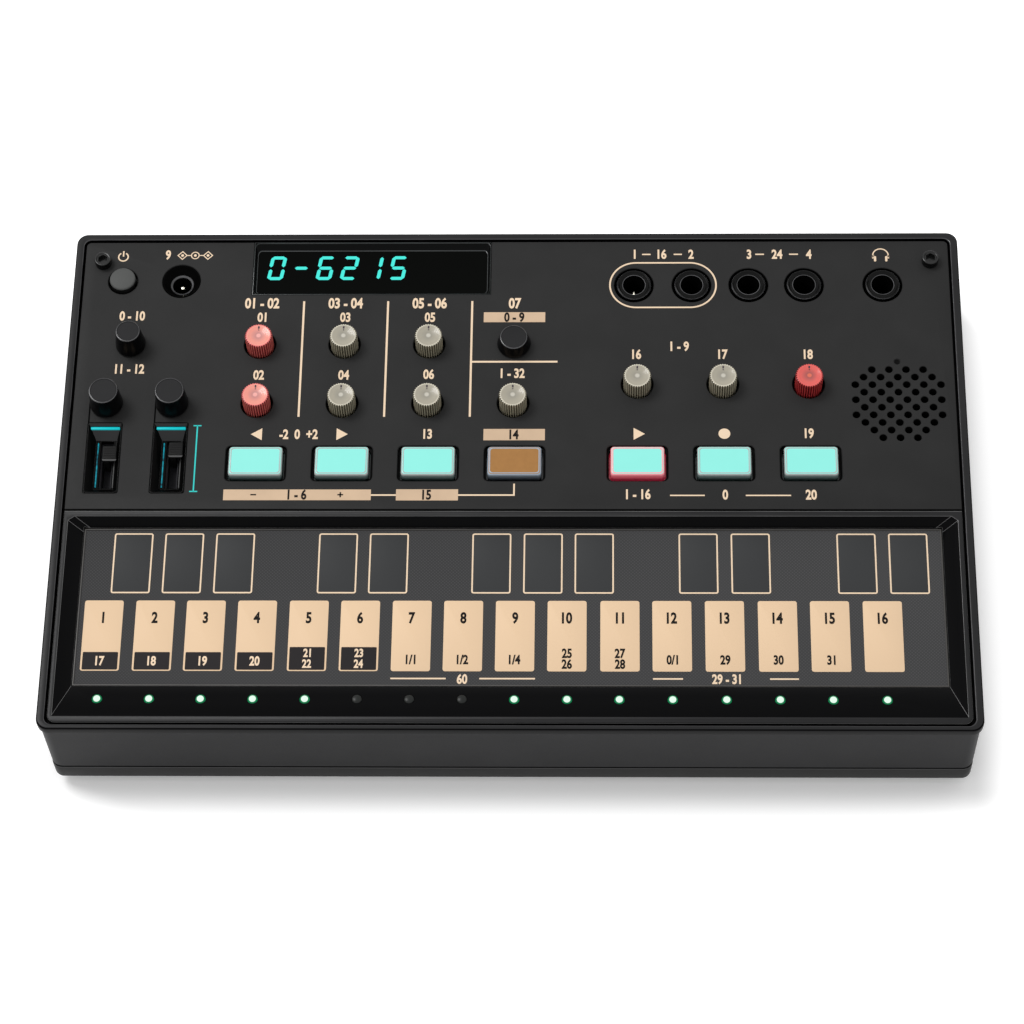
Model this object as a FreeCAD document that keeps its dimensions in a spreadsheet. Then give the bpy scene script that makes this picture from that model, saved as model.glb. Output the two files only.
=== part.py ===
import FreeCAD, Part
import Sketcher
import math
import os
import re

# A desktop FM synthesizer. X runs to the right, Y to the rear and Z up, from the middle of the
# rectangle under its feet. All sizes are millimetres.

# Driving sizes: name, value and what it measures
driving = [
    # Flat sides of round things, few where they repeat, which keep the model light
    ("small_sides", 6, "flat sides of a small round thing"),
    ("round_sides", 12, "flat sides of a larger round thing"),
    ("smooth_sides", 24, "flat sides of a round thing that stands alone"),
    # Case
    ("case_width", 193.0, "rim, left to right"),
    ("case_depth", 119.0, "rim, front to rear"),
    ("case_height", 26.4, "bottom of the lower case to the top of the rim"),
    ("corner_radius", 2.4, "upright corners of the rim"),
    ("foot_height", 2.2, "gap between the table and the lower case"),
    ("lower_height", 8.0, "outer height of the lower case"),
    ("seam_gap", 0.3, "shadow line between the two cases"),
    ("wall", 1.6, "case walls"),
    ("floor_thickness", 2.4, "floor of the lower case"),
    ("bottom_bevel", 1.2, "bevel under the lower case"),
    ("rim_side", 1.7, "rim width at the left and right"),
    ("rim_rear", 1.55, "rim width at the rear"),
    ("rim_front", 1.1, "rim width at the front"),
    ("rim_height", 1.4, "height of the rim band"),
    ("rim_overhang", 0.4, "walls stand back this far under the rim"),
    ("rim_bevel", 0.3, "bevel of the rim's top edges"),
    ("ledge_width", 1.9, "ledge that carries the panel, inside the rim"),
    ("ledge_height", 1.5, "height of that ledge"),
    ("tower_side", 6.2, "screw towers, in from the sides of the rim"),
    ("tower_end", 7.3, "screw towers, in from the rim's front and rear"),
    ("tower_radius", 2.7, "screw towers"),
    ("tower_rib", 2.4, "rib from a tower to the side wall"),
    # Top panel
    ("panel_gap", 0.5, "dark gap between the rim and the panel"),
    ("panel_drop", 0.3, "panel surface below the rim's top"),
    ("panel_thickness", 2.0, "top panel"),
    ("panel_front", 8.75, "panel's front edge, forward from the middle"),
    ("panel_corner", 1.0, "rear corners of the panel"),
    ("seam_width", 0.35, "line between the panel and the keyboard bezel"),
    ("groove_width", 0.35, "thin groove that runs back from a slider well"),
    ("groove_depth", 0.4, "depth of that groove"),
    ("groove_reach", 3.0, "rear end of that groove, behind the data knobs"),
    ("dimple_setback", 10.0, "dimple, behind the middle of the grille"),
    ("dimple_radius", 0.7, "dimple behind the grille"),
    ("dimple_depth", 0.3, "dimple behind the grille"),
    # Keyboard bezel, touch plate and touch board
    ("bezel_corner", 1.7, "front corners of the bezel"),
    ("bezel_body", 2.0, "bezel below the plane of the ledge"),
    ("shelf_reach", 2.25, "bezel's shelf, under the panel from its front edge"),
    ("ledge_fit", 0.25, "gap between the bezel's body and the ledge"),
    ("slope_depth", 2.3, "fall of the bezel's slopes"),
    ("slope_side", 3.15, "left and right slopes"),
    ("slope_rear", 1.65, "rear slope"),
    ("slope_front", 8.2, "front slope, which carries the step lights"),
    ("slope_corner", 0.9, "rear corners between the slopes"),
    ("lip_side", 0.95, "flat lip outside the side slopes"),
    ("lip_rear", 1.3, "flat lip behind the rear slope"),
    ("lip_front", 1.0, "flat lip before the front slope"),
    ("plate_fit", 0.15, "gap round the touch plate"),
    ("plate_thickness", 1.4, "touch plate"),
    ("plate_edge", 0.45, "raised edge of the touch plate"),
    ("plate_edge_height", 0.25, "height of that edge"),
    ("touch_board", 1.6, "touch board"),
    ("touch_board_inset", 1.1, "touch board inside the bezel's body"),
    # Step lights
    ("step_count", 16, "step lights"),
    ("step_middle", 3.6, "middle of their row, left of the middle"),
    ("step_pitch", 10.76, "between step lights"),
    ("step_inset", 5.8, "their row, behind the bezel's front edge"),
    ("step_radius", 0.85, "step light"),
    ("step_clearance", 0.2, "gap round a step light"),
    ("step_proud", 0.35, "step light above the slope"),
    # Columns and rows of controls
    ("left_x", 54.9, "first column of the left group, left of the middle"),
    ("left_pitch", 18.3, "between its columns"),
    ("right_x", 26.5, "first column of the right group, right of the middle"),
    ("right_pitch", 18.3, "between its columns"),
    ("upper_row", 31.4, "upper knob row, back from the middle"),
    ("lower_row", 16.8, "lower knob row, back from the middle"),
    ("right_row", 21.4, "knob row of the right group, back from the middle"),
    ("button_x", 54.4, "first button of the left group, left of the middle"),
    ("button_row", 2.2, "button row, back from the middle"),
    # Ribbed knobs
    ("knob_radius", 3.1, "ribbed knob at its foot"),
    ("knob_height", 4.1, "ribbed knob above the panel"),
    ("knob_bevel", 0.3, "top edge of a knob"),
    ("knob_sink", 1.6, "ribbed knob below the panel's surface"),
    ("knob_clearance", 0.35, "gap round a ribbed knob in the panel"),
    ("knurl_count", 18, "ribs round a ribbed knob"),
    ("knurl_depth", 0.3, "groove between two ribs"),
    ("pointer_width", 0.4, "pointer notch"),
    ("pointer_length", 1.3, "pointer notch"),
    ("pointer_depth", 0.25, "pointer notch"),
    ("shaft_radius", 1.5, "shaft below a knob, middle to corner"),
    ("shaft_room", 1.85, "hole round a shaft"),
    # Smooth knobs
    ("knob_lift", 0.4, "gap between a smooth knob and the panel"),
    ("volume_x", 82.9, "volume knob, left of the middle"),
    ("volume_radius", 3.25, "volume knob at its foot"),
    ("volume_taper", 0.63, "volume knob, smaller by this at its top"),
    ("volume_height", 5.85, "volume knob above the panel"),
    ("data_x", 87.1, "left data knob and slider, left of the middle"),
    ("data_pitch", 14.1, "between the data knobs"),
    ("data_row", 16.6, "data knobs, back from the middle"),
    ("data_radius", 3.5, "data knob at its foot"),
    ("data_taper", 0.42, "data knob, smaller by this at its top"),
    ("data_height", 6.1, "data knob above the panel"),
    ("program_radius", 3.6, "program knob at its foot"),
    ("program_taper", 0.65, "program knob, smaller by this at its top"),
    ("program_height", 3.2, "program knob above the panel"),
    # Buttons
    ("button_width", 11.4, "button cap"),
    ("button_depth", 6.9, "button cap"),
    ("button_corner", 0.5, "upright corners of a cap, cut off by this"),
    ("button_bevel", 0.35, "top edge of a cap"),
    ("button_height", 1.3, "cap above the panel"),
    ("button_clearance", 0.35, "gap round a cap in the panel"),
    ("button_travel", 0.6, "button travel"),
    ("recess_margin", 0.45, "shallow recess beyond the hole for a cap"),
    ("recess_depth", 0.9, "shallow recess round a cap"),
    ("flange_margin", 0.9, "flange under the panel, beyond a cap"),
    ("flange_thickness", 0.6, "that flange"),
    ("flange_gap", 0.3, "gap between that flange and the panel"),
    ("stem_side", 3.0, "stem below a button"),
    ("stem_fit", 0.3, "gap round a stem"),
    ("stem_hold", 2.0, "stem inside its switch"),
    ("stem_room", 0.5, "free depth under a pressed stem"),
    ("switch_side", 6.0, "switch under a button"),
    ("switch_height", 6.0, "switch above the main board"),
    ("power_side", 4.6, "power button, inward of the left screw tower"),
    ("power_end", 4.7, "power button, forward of that tower"),
    ("power_radius", 2.8, "power button"),
    ("power_clearance", 0.45, "gap round the power button"),
    ("power_height", 1.2, "power button above the panel"),
    ("power_stem", 2.2, "stem below the power button"),
    ("power_switch", 4.6, "switch under the power button"),
    # Slider wells
    ("well_width", 7.5, "opening of a well"),
    ("well_front_gap", 3.75, "front end of a well, behind the panel's front edge"),
    ("well_rear_gap", 4.4, "rear end of a well, forward of its data knob"),
    ("well_fit", 0.1, "gap between a well and the panel"),
    ("well_lip", 0.2, "flat lip of a well"),
    ("well_depth", 2.0, "floor of a well below the panel"),
    ("well_floor", 0.9, "thickness of that floor"),
    ("well_left", 1.5, "slope at the left of a well"),
    ("well_right", 1.0, "slope at the right of a well"),
    ("well_rear", 3.1, "slope at the rear of a well"),
    ("well_front", 1.6, "slope at the front of a well"),
    ("slot_offset", 0.5, "lever slot, right of the well's middle"),
    ("slot_width", 2.5, "lever slot"),
    ("slot_inset", 0.3, "lever slot, inside the ends of the floor"),
    ("bar_width", 6.2, "light bar on the rear slope"),
    ("bar_depth", 0.6, "light bar"),
    ("bar_height", 0.8, "light bar"),
    ("bar_setback", 1.15, "middle of the bar, forward of the well's rear edge"),
    ("bar_drop", 0.55, "top of the bar below the panel"),
    ("line_offset", 1.45, "light line, left of the well's middle"),
    ("line_width", 0.4, "light line"),
    ("line_inset", 0.6, "light line, inside the ends of the floor"),
    ("line_proud", 0.1, "light line above the floor"),
    ("line_sink", 0.4, "light line in the floor"),
    ("light_fit", 0.05, "gap round a light"),
    # Slider levers and slide potentiometers
    ("lever_width", 3.0, "lever cap"),
    ("lever_length", 3.5, "lever cap"),
    ("lever_thickness", 0.9, "lever cap"),
    ("lever_drop", 0.1, "top of the cap below the panel"),
    ("lever_shift", 0.85, "cap, right of its stem"),
    ("lever_left_y", 4.8, "left lever at rest, back from the middle"),
    ("lever_right_y", 5.7, "right lever at rest, back from the middle"),
    ("lip_length", 0.5, "step along the cap's front edge"),
    ("lip_drop", 0.3, "depth of that step"),
    ("blade_width", 1.3, "stem of a lever"),
    ("blade_length", 2.4, "stem of a lever"),
    ("blade_hold", 3.0, "stem inside its potentiometer"),
    ("blade_fit", 0.35, "gap round a stem in its potentiometer"),
    ("slide_width", 6.6, "slide potentiometer"),
    ("slide_inset", 0.4, "slide potentiometer, inside the ends of its well"),
    ("slide_gap", 0.3, "slide potentiometer below the well"),
    # Sockets
    ("socket_setback", 5.9, "sockets, forward of the panel screws"),
    ("midi_in_x", 25.9, "first MIDI socket, right of the middle"),
    ("midi_out_x", 38.4, "second MIDI socket, right of the middle"),
    ("sync_in_x", 50.75, "first sync socket, right of the middle"),
    ("sync_out_x", 62.8, "second sync socket, right of the middle"),
    ("phones_x", 79.8, "headphone socket, right of the middle"),
    ("socket_hole", 4.3, "panel hole round a socket"),
    ("socket_collar", 3.73, "collar of a socket"),
    ("socket_proud", 0.2, "collar above the panel"),
    ("socket_mouth", 2.35, "mouth of the bore"),
    ("socket_mouth_depth", 0.6, "depth of that mouth"),
    ("socket_step", 0.1, "ledge round the bore at the mouth's foot"),
    ("plug_bore", 1.8, "bore for a 3.5 mm plug"),
    ("plug_depth", 11.4, "depth of that bore from the top of the collar"),
    ("socket_side", 9.4, "body of a socket"),
    ("socket_gap", 0.3, "gap between that body and the panel"),
    # DC inlet
    ("inlet_x", 72.9, "DC inlet, left of the middle, in the power button's row"),
    ("inlet_hole", 4.2, "panel hole round the inlet"),
    ("inlet_fit", 0.1, "gap round the inlet in the panel"),
    ("inlet_lip", 0.2, "flat lip of the funnel"),
    ("inlet_funnel", 1.9, "depth of the funnel"),
    ("inlet_land", 0.15, "upright foot of the funnel"),
    ("inlet_step", 0.3, "ledge round the bore at the funnel's foot"),
    ("inlet_bore", 2.05, "bore for the DC plug"),
    ("inlet_depth", 10.4, "depth of that bore below the panel"),
    ("inlet_pin", 0.8, "centre pin"),
    ("inlet_pin_drop", 2.6, "top of the pin below the panel"),
    # Display
    ("window_left", 57.4, "left edge of the display window, left of the middle"),
    ("window_right", 5.15, "its right edge, left of the middle"),
    ("window_length", 13.55, "its front edge, forward of the panel's rear edge"),
    ("window_fit", 0.12, "gap round the window"),
    ("window_lip", 0.25, "flat lip of the window"),
    ("window_depth", 1.0, "glass below the panel"),
    ("window_side", 0.5, "slope at the sides and the front"),
    ("window_rear", 1.4, "slope at the rear"),
    ("module_width", 47.0, "display module"),
    ("module_depth", 9.4, "display module"),
    ("module_gap", 0.3, "display module below the window"),
    # Speaker
    ("speaker_gap", 0.3, "gap between the speaker and the ledge at its right"),
    ("speaker_y", 17.0, "speaker and grille, back from the middle"),
    ("grille_hole", 0.82, "hole of the grille"),
    ("grille_pitch", 3.65, "between the holes of a row"),
    ("grille_rows", 10, "rows of holes"),
    ("grille_row", 1.85, "between the rows"),
    ("grille_first", 8.6, "first row, forward of the middle of the grille"),
    ("grille_reach", 10.4, "furthest hole from the middle"),
    ("speaker_side", 20.8, "frame of the speaker"),
    ("speaker_frame", 1.2, "thickness of that frame"),
    ("cone_radius", 9.4, "rim of the cone"),
    ("cone_depth", 1.0, "membrane below the top of the frame"),
    ("basket_height", 3.2, "basket under the frame"),
    ("basket_side", 15.0, "basket under the frame"),
    ("magnet_radius", 6.0, "magnet"),
    ("magnet_height", 3.2, "magnet"),
    # Main board and potentiometers
    ("board_height", 13.8, "top of the main board above the bottom of the case"),
    ("board_thickness", 1.6, "main board"),
    ("board_inset", 1.9, "main board inside the walls"),
    ("board_gap", 1.1, "gap between the board and the battery bay"),
    ("board_notch", 0.5, "gap between the board and a tower"),
    ("post_side", 28.5, "board posts, in from the sides of the rim"),
    ("post_end", 19.5, "rear posts, in from the rear of the rim"),
    ("post_setback", 6.5, "front posts, behind the board's front edge"),
    ("post_radius", 2.6, "board posts"),
    ("pot_side", 8.6, "potentiometer"),
    ("pot_height", 6.0, "potentiometer above the main board"),
    ("pot_hold", 2.6, "shaft inside its potentiometer"),
    ("pot_room", 0.3, "gap under a shaft"),
    ("header_length", 30.0, "header between the boards"),
    ("header_width", 1.6, "header between the boards"),
    ("header_setback", 1.8, "header, behind the main board's front edge"),
    ("tongue_margin", 1.0, "tongue of the touch board beyond the ends of the header"),
    ("tongue_reach", 3.5, "that tongue, behind the main board's front edge"),
    # Screws and feet
    ("screw_radius", 1.4, "shank of a screw"),
    ("screw_fit", 0.05, "gap round a shank"),
    ("screw_length", 12.5, "case screw under its head"),
    ("head_radius", 2.4, "head of a case screw, middle to corner"),
    ("head_height", 1.5, "head of a case screw"),
    ("head_fit", 0.3, "gap round a head"),
    ("head_sink", 1.5, "gap between a head and the bottom of the case"),
    ("collar_radius", 1.8, "collar of a panel screw"),
    ("collar_height", 1.85, "collar above the panel"),
    ("collar_length", 7.0, "panel screw below the panel's surface"),
    ("hex_radius", 1.15, "hexagon socket of a screw, middle to corner"),
    ("hex_depth", 0.9, "hexagon socket of a screw"),
    ("foot_side", 20.5, "feet, in from the sides of the rim"),
    ("foot_end", 12.5, "feet, in from the rim's front and rear"),
    ("foot_radius", 5.0, "feet"),
    # Batteries
    ("cell_radius", 7.1, "cell"),
    ("cell_length", 49.2, "cell without its cap"),
    ("cell_cap", 1.2, "cap of a cell"),
    ("cell_cap_radius", 2.7, "cap of a cell"),
    ("cell_gap", 0.1, "gap at each end of a cell"),
    ("cell_rows", 3, "rows of two cells"),
    ("cell_pitch", 14.7, "between rows"),
    ("cell_lift", 1.1, "cells above the floor of the case"),
    ("bay_setback", 2.5, "bay, behind the inside of the front wall"),
    ("bay_fit", 0.3, "gap between the cells and the bay"),
    ("bay_wall", 1.2, "walls and roof of the bay"),
    ("contact_side", 10.0, "contact plate"),
    ("contact_thickness", 0.5, "contact plate"),
    ("contact_fit", 0.05, "gap behind a contact plate"),
    ("spring_length", 4.8, "contact spring"),
    ("spring_radius", 3.0, "contact spring"),
    # Battery cover
    ("cover_margin", 1.2, "cover beyond the opening of the bay"),
    ("cover_fit", 0.35, "gap round the cover"),
    ("cover_thickness", 1.3, "cover"),
    ("cover_gap", 0.2, "gap above the cover"),
    ("cover_corner", 1.2, "corners of the cover, cut off by this"),
    ("cover_travel", 5.0, "cover's slide towards the rear"),
    ("tab_length", 3.6, "tab at the side of the cover"),
    ("tab_reach", 1.1, "tab beyond the cover"),
    ("tab_thickness", 0.5, "tab"),
    ("tab_fit", 0.15, "gap under a tab"),
    ("tab_spread", 15.0, "tabs, from the middle of the cover"),
    ("ridge_count", 5, "grip grooves of the cover"),
    ("ridge_pitch", 2.0, "between grip grooves"),
    ("ridge_width", 0.9, "grip groove"),
    ("ridge_length", 18.0, "grip groove"),
    ("ridge_depth", 0.5, "grip groove"),
    ("ridge_setback", 4.0, "first grip groove, forward of the cover's rear edge"),
]

document = FreeCAD.newDocument("FmSynthesizer")
sheet = document.addObject("Spreadsheet::Sheet", "Sizes")
for row, (name, size, meaning) in enumerate(driving, start=1):
    sheet.set("A%d" % row, name)
    sheet.set("B%d" % row, str(size))
    sheet.set("C%d" % row, meaning)
    sheet.setAlias("B%d" % row, name)
document.recompute()
aliases = {name for name, size, meaning in driving}
same_place = 0.001

# The case for which the columns and rows of controls are given. They spread with another case.
given_width = 193.0
given_depth = 119.0


def across(column):
    return "(%s) * case_width / %s" % (column, given_width)


def along(row):
    return "(%s) * case_depth / %s" % (row, given_depth)


# Heights and edges that several pieces share, worked out from the driving sizes
rim_top = "(foot_height + case_height)"
panel_top = "(%s - panel_drop)" % rim_top
panel_under = "(%s - panel_thickness)" % panel_top
lower_top = "(foot_height + lower_height)"
floor_top = "(foot_height + floor_thickness)"
board_top = "(foot_height + board_height)"
board_under = "(%s - board_thickness)" % board_top
slope_foot = "(%s - slope_depth)" % panel_top
bezel_under = "(%s - bezel_body)" % panel_under
touch_under = "(%s - touch_board)" % bezel_under
wall_x = "(case_width / 2 - rim_overhang)"
wall_y = "(case_depth / 2 - rim_overhang)"
opening_x = "(case_width / 2 - rim_side)"
opening_front = "(case_depth / 2 - rim_front)"
opening_rear = "(case_depth / 2 - rim_rear)"
panel_x = "(%s - panel_gap)" % opening_x
panel_rear = "(%s - panel_gap)" % opening_rear
bezel_front = "(%s - panel_gap)" % opening_front
panel_front = along("panel_front")
bezel_rear = "(%s + seam_width)" % panel_front
bezel_shelf = "(%s - shelf_reach)" % panel_front
plate_x = "(%s - lip_side - slope_side)" % panel_x
plate_front = "(%s - lip_front - slope_front)" % bezel_front
plate_rear = "(%s + lip_rear + slope_rear)" % bezel_rear
board_x = "(%s - board_inset)" % wall_x
board_rear = "(%s - board_inset - wall)" % wall_y
cell_middle = "(%s + cell_lift + cell_radius)" % floor_top
bay_ends = "(spring_length / 2 + 2 * cell_gap + contact_thickness + contact_fit)"
bay_x = "(cell_length + cell_cap + %s)" % bay_ends
bay_front = "(%s - wall - bay_setback)" % wall_y
bay_rear = "(%s - cell_pitch * (cell_rows - 1) - 2 * cell_radius - 2 * bay_fit)" % bay_front
bay_top = "(%s + cell_radius + bay_fit)" % cell_middle
cover_top = "(foot_height + cover_thickness)"
head_seat = "(foot_height + head_sink + head_height)"
board_front = "(%s - bay_wall - board_gap)" % bay_rear


# Helpers that tie a model to the sheet

def bound(text):
    def prefixed(word):
        return "Sizes." + word.group(0) if word.group(0) in aliases else word.group(0)
    return re.sub(r"[a-z]\w*", prefixed, text)


def number(text):
    return float(sheet.evalExpression(bound(text)))


def bind(thing, **texts):
    for path, text in texts.items():
        thing.setExpression(path.replace("__", "."), bound(text))


def place(thing, x, y, z):
    bind(thing, Placement__Base__x=x, Placement__Base__y=y, Placement__Base__z=z)
    return thing


def point(x, y):
    return FreeCAD.Vector(number(x), number(y), 0)


def constrain(face, text, *terms):
    index = face.addConstraint(Sketcher.Constraint(*terms, number(text)))
    face.setExpression("Constraints[%d]" % index, bound(text))


# Closed outlines drawn in a sketch

def polygon(face, points):
    first = face.GeometryCount
    count = len(points)
    for index in range(count):
        start = point(*points[index])
        end = point(*points[(index + 1) % count])
        face.addGeometry(Part.LineSegment(start, end), False)
    for index in range(count):
        following = first + (index + 1) % count
        face.addConstraint(Sketcher.Constraint("Coincident", first + index, 2, following, 1))
    for index, (x, y) in enumerate(points):
        constrain(face, x, "DistanceX", -1, 1, first + index, 1)
        constrain(face, y, "DistanceY", -1, 1, first + index, 1)


def rectangle(face, left, front, right, rear):
    polygon(face, [(left, front), (right, front), (right, rear), (left, rear)])


def rounded(face, left, front, right, rear, radius):
    first = face.GeometryCount
    low = point(left, front)
    high = point(right, rear)
    bend = number(radius)
    lines = [((low.x + bend, low.y), (high.x - bend, low.y)),
             ((high.x, low.y + bend), (high.x, high.y - bend)),
             ((high.x - bend, high.y), (low.x + bend, high.y)),
             ((low.x, high.y - bend), (low.x, low.y + bend))]
    centres = [(high.x - bend, low.y + bend), (high.x - bend, high.y - bend),
               (low.x + bend, high.y - bend), (low.x + bend, low.y + bend)]
    for start, end in lines:
        line = Part.LineSegment(FreeCAD.Vector(*start, 0), FreeCAD.Vector(*end, 0))
        face.addGeometry(line, False)
    for index, centre in enumerate(centres):
        ring = Part.Circle(FreeCAD.Vector(*centre, 0), FreeCAD.Vector(0, 0, 1), bend)
        start = math.radians(270 + 90 * index)
        face.addGeometry(Part.ArcOfCircle(ring, start, start + math.radians(90)), False)
    for index in range(4):
        arc = first + 4 + index
        face.addConstraint(Sketcher.Constraint("Tangent", first + index, 2, arc, 1))
        face.addConstraint(Sketcher.Constraint("Tangent", arc, 2, first + (index + 1) % 4, 1))
        straight = "Horizontal" if index % 2 == 0 else "Vertical"
        face.addConstraint(Sketcher.Constraint(straight, first + index))
        if index > 0:
            face.addConstraint(Sketcher.Constraint("Equal", first + 4, arc))
    constrain(face, radius, "Radius", first + 4)
    constrain(face, front, "DistanceY", -1, 1, first, 1)
    constrain(face, right, "DistanceX", -1, 1, first + 1, 1)
    constrain(face, rear, "DistanceY", -1, 1, first + 2, 1)
    constrain(face, left, "DistanceX", -1, 1, first + 3, 1)


def trimmed(face, left, front, right, rear, corner):
    # A rectangle whose corners are cut off
    polygon(face, [("%s + %s" % (left, corner), front), ("%s - %s" % (right, corner), front),
                   (right, "%s + %s" % (front, corner)), (right, "%s - %s" % (rear, corner)),
                   ("%s - %s" % (right, corner), rear), ("%s + %s" % (left, corner), rear),
                   (left, "%s - %s" % (rear, corner)), (left, "%s + %s" % (front, corner))])


def facets(face, x, y, radii, count):
    # A closed outline round x, y whose corners take the radii in turn
    corners = []
    for index in range(count):
        turn = 2 * math.pi * index / count
        radius = radii[index % len(radii)]
        corners.append(("%s + %.9f * (%s)" % (x, math.cos(turn), radius),
                        "%s + %.9f * (%s)" % (y, math.sin(turn), radius)))
    polygon(face, corners)


def ring(face, x, y, radius, sides="round_sides"):
    facets(face, x, y, [radius], int(number(sides)))


# Bodies and their features

pieces = []


def keep(piece, name):
    piece.Label = name
    pieces.append(piece)
    return piece


def blank(name, x="0", y="0"):
    piece = document.addObject("PartDesign::Body", name)
    return place(piece, x, y, "0")


def body(name, x="0", y="0"):
    return keep(blank(name, x, y), name)


def origin_part(piece, role):
    return [part for part in piece.Origin.OriginFeatures if part.Role == role][0]


def sketch(piece, name, height="0", role="XY_Plane"):
    face = piece.newObject("Sketcher::SketchObject", name)
    face.AttachmentSupport = [(origin_part(piece, role), "")]
    face.MapMode = "FlatFace"
    bind(face, AttachmentOffset__Base__z=height)
    return face


def pad(piece, face, name, length):
    feature = piece.newObject("PartDesign::Pad", name)
    feature.Profile = face
    bind(feature, Length=length)
    return feature


def pocket(piece, face, name, depth, upward=False):
    feature = piece.newObject("PartDesign::Pocket", name)
    feature.Profile = face
    feature.Reversed = upward
    bind(feature, Length=depth)
    return feature


def loft(piece, faces, name, kind="AdditiveLoft"):
    feature = piece.newObject("PartDesign::" + kind, name)
    feature.Profile = faces[0]
    feature.Sections = faces[1:]
    feature.Ruled = True
    return feature


def sloped_pocket(piece, upper, lower, name):
    return loft(piece, [upper, lower], name, "SubtractiveLoft")


def wedge_pocket(piece, name, upper, lower, low, high):
    # Flat slopes from the upper rectangle, at high, to the lower one, at low
    # Each rectangle is its left, front, right and rear edge
    wedge = piece.newObject("PartDesign::SubtractiveWedge", name)
    wedge.AttachmentSupport = [(origin_part(piece, "XY_Plane"), "")]
    wedge.MapMode = "FlatFace"
    wedge.AttachmentOffset.Rotation = FreeCAD.Rotation(FreeCAD.Vector(1, 0, 0), 90)
    bind(wedge, Ymin=low, Ymax=high, Xmin=lower[0], Xmax=lower[2], X2min=upper[0], X2max=upper[2],
         Zmin="-(%s)" % lower[3], Zmax="-(%s)" % lower[1], Z2min="-(%s)" % upper[3], Z2max="-(%s)" % upper[1])
    return wedge


def turned(piece, name, points, kind="Revolution"):
    face = sketch(piece, name + "_profile", role="XZ_Plane")
    polygon(face, points)
    feature = piece.newObject("PartDesign::" + kind, name)
    feature.Profile = face
    feature.ReferenceAxis = (face, ["V_Axis"])
    feature.Angle = 360
    return feature


def row_of(piece, feature, name, count, reach, axis="Y_Axis"):
    pattern = piece.newObject("PartDesign::LinearPattern", name)
    pattern.Originals = [feature]
    pattern.Direction = (origin_part(piece, axis), [""])
    bind(pattern, Occurrences=count, Length=reach)
    piece.Tip = pattern
    return pattern


def dressed(piece, feature, name, size, wanted, kind="Fillet"):
    if feature.Shape.isNull():
        document.recompute()
    chosen = ["Edge%d" % index for index, edge in enumerate(feature.Shape.Edges, start=1) if wanted(edge)]
    feature_on_edges = piece.newObject("PartDesign::" + kind, name)
    feature_on_edges.Base = (feature, chosen)
    feature_on_edges.setExpression("Radius" if kind == "Fillet" else "Size", bound(size))
    return feature_on_edges


def lying_at(height, reach="case_width"):
    # Edges in one level plane whose middles are within reach of the upright axis
    level = number(height)
    furthest = number(reach)

    def wanted(edge):
        box = edge.BoundBox
        away = max(abs(box.ZMin - level), abs(box.ZMax - level))
        return away < same_place and math.hypot(box.Center.x, box.Center.y) < furthest
    return wanted


def through(points):
    # Edges whose middle, seen from above, is at one of the points
    places = [point(x, y) for x, y in points]

    def wanted(edge):
        middle = edge.BoundBox.Center
        flat = FreeCAD.Vector(middle.x, middle.y, 0)
        level = edge.BoundBox.ZLength < same_place
        return not level and min(flat.distanceToPoint(spot) for spot in places) < same_place
    return wanted


# Solids and groups

def block(name, x, y, z, width, depth, height):
    # Its middle is over x, y and it stands on z
    solid = document.addObject("Part::Box", name)
    bind(solid, Length=width, Width=depth, Height=height)
    return place(solid, "%s - %s / 2" % (x, width), "%s - %s / 2" % (y, depth), z)


def prism(name, x, y, z, radius, height, sides="round_sides", facing=(0, 0, 1)):
    solid = document.addObject("Part::Prism", name)
    bind(solid, Polygon=sides, Circumradius=radius, Height=height)
    solid.Placement.Rotation = FreeCAD.Rotation(FreeCAD.Vector(0, 0, 1), FreeCAD.Vector(*facing))
    return place(solid, x, y, z)


def cut(name, base, tool):
    solid = document.addObject("Part::Cut", name)
    solid.Base = base
    solid.Tool = tool
    return solid


def fused(name, parts):
    solid = document.addObject("Part::MultiFuse", name)
    solid.Shapes = parts
    solid.Refine = True
    return solid


def cluster(name, parts):
    solids = document.addObject("Part::Compound", name)
    solids.Links = parts
    return solids


def group(name, parts):
    return keep(cluster(name, parts), name)


# Where the controls are

def left_column(index):
    return across("%d * left_pitch - left_x" % index)


def right_column(index):
    return across("right_x + %d * right_pitch" % index)


def data_column(index):
    return across("%d * data_pitch - data_x" % index)


def button_column(index):
    return across("%d * left_pitch - button_x" % index)


upper_row = along("upper_row")
lower_row = along("lower_row")
right_row = along("right_row")
button_row = along("button_row")
data_row = along("data_row")
well_front_end = "(well_front_gap - %s)" % panel_front
well_rear_end = "(%s - well_rear_gap)" % data_row
well_length = "(%s - %s)" % (well_rear_end, well_front_end)
well_y = "((%s + %s) / 2)" % (well_rear_end, well_front_end)
tower_x = "(case_width / 2 - tower_side)"
tower_y = "(case_depth / 2 - tower_end)"
power_x = "(power_side - %s)" % tower_x
power_y = "(%s - power_end)" % tower_y
inlet_x = across("-inlet_x")
socket_row = "(%s - socket_setback)" % tower_y
window_left = across("-window_left")
window_right = across("-window_right")
window_front = "(%s - window_length)" % panel_rear
speaker_x = "(%s - ledge_width - speaker_gap - speaker_side / 2)" % opening_x
speaker_y = along("speaker_y")
step_y = "(step_inset - %s)" % bezel_front


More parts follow.
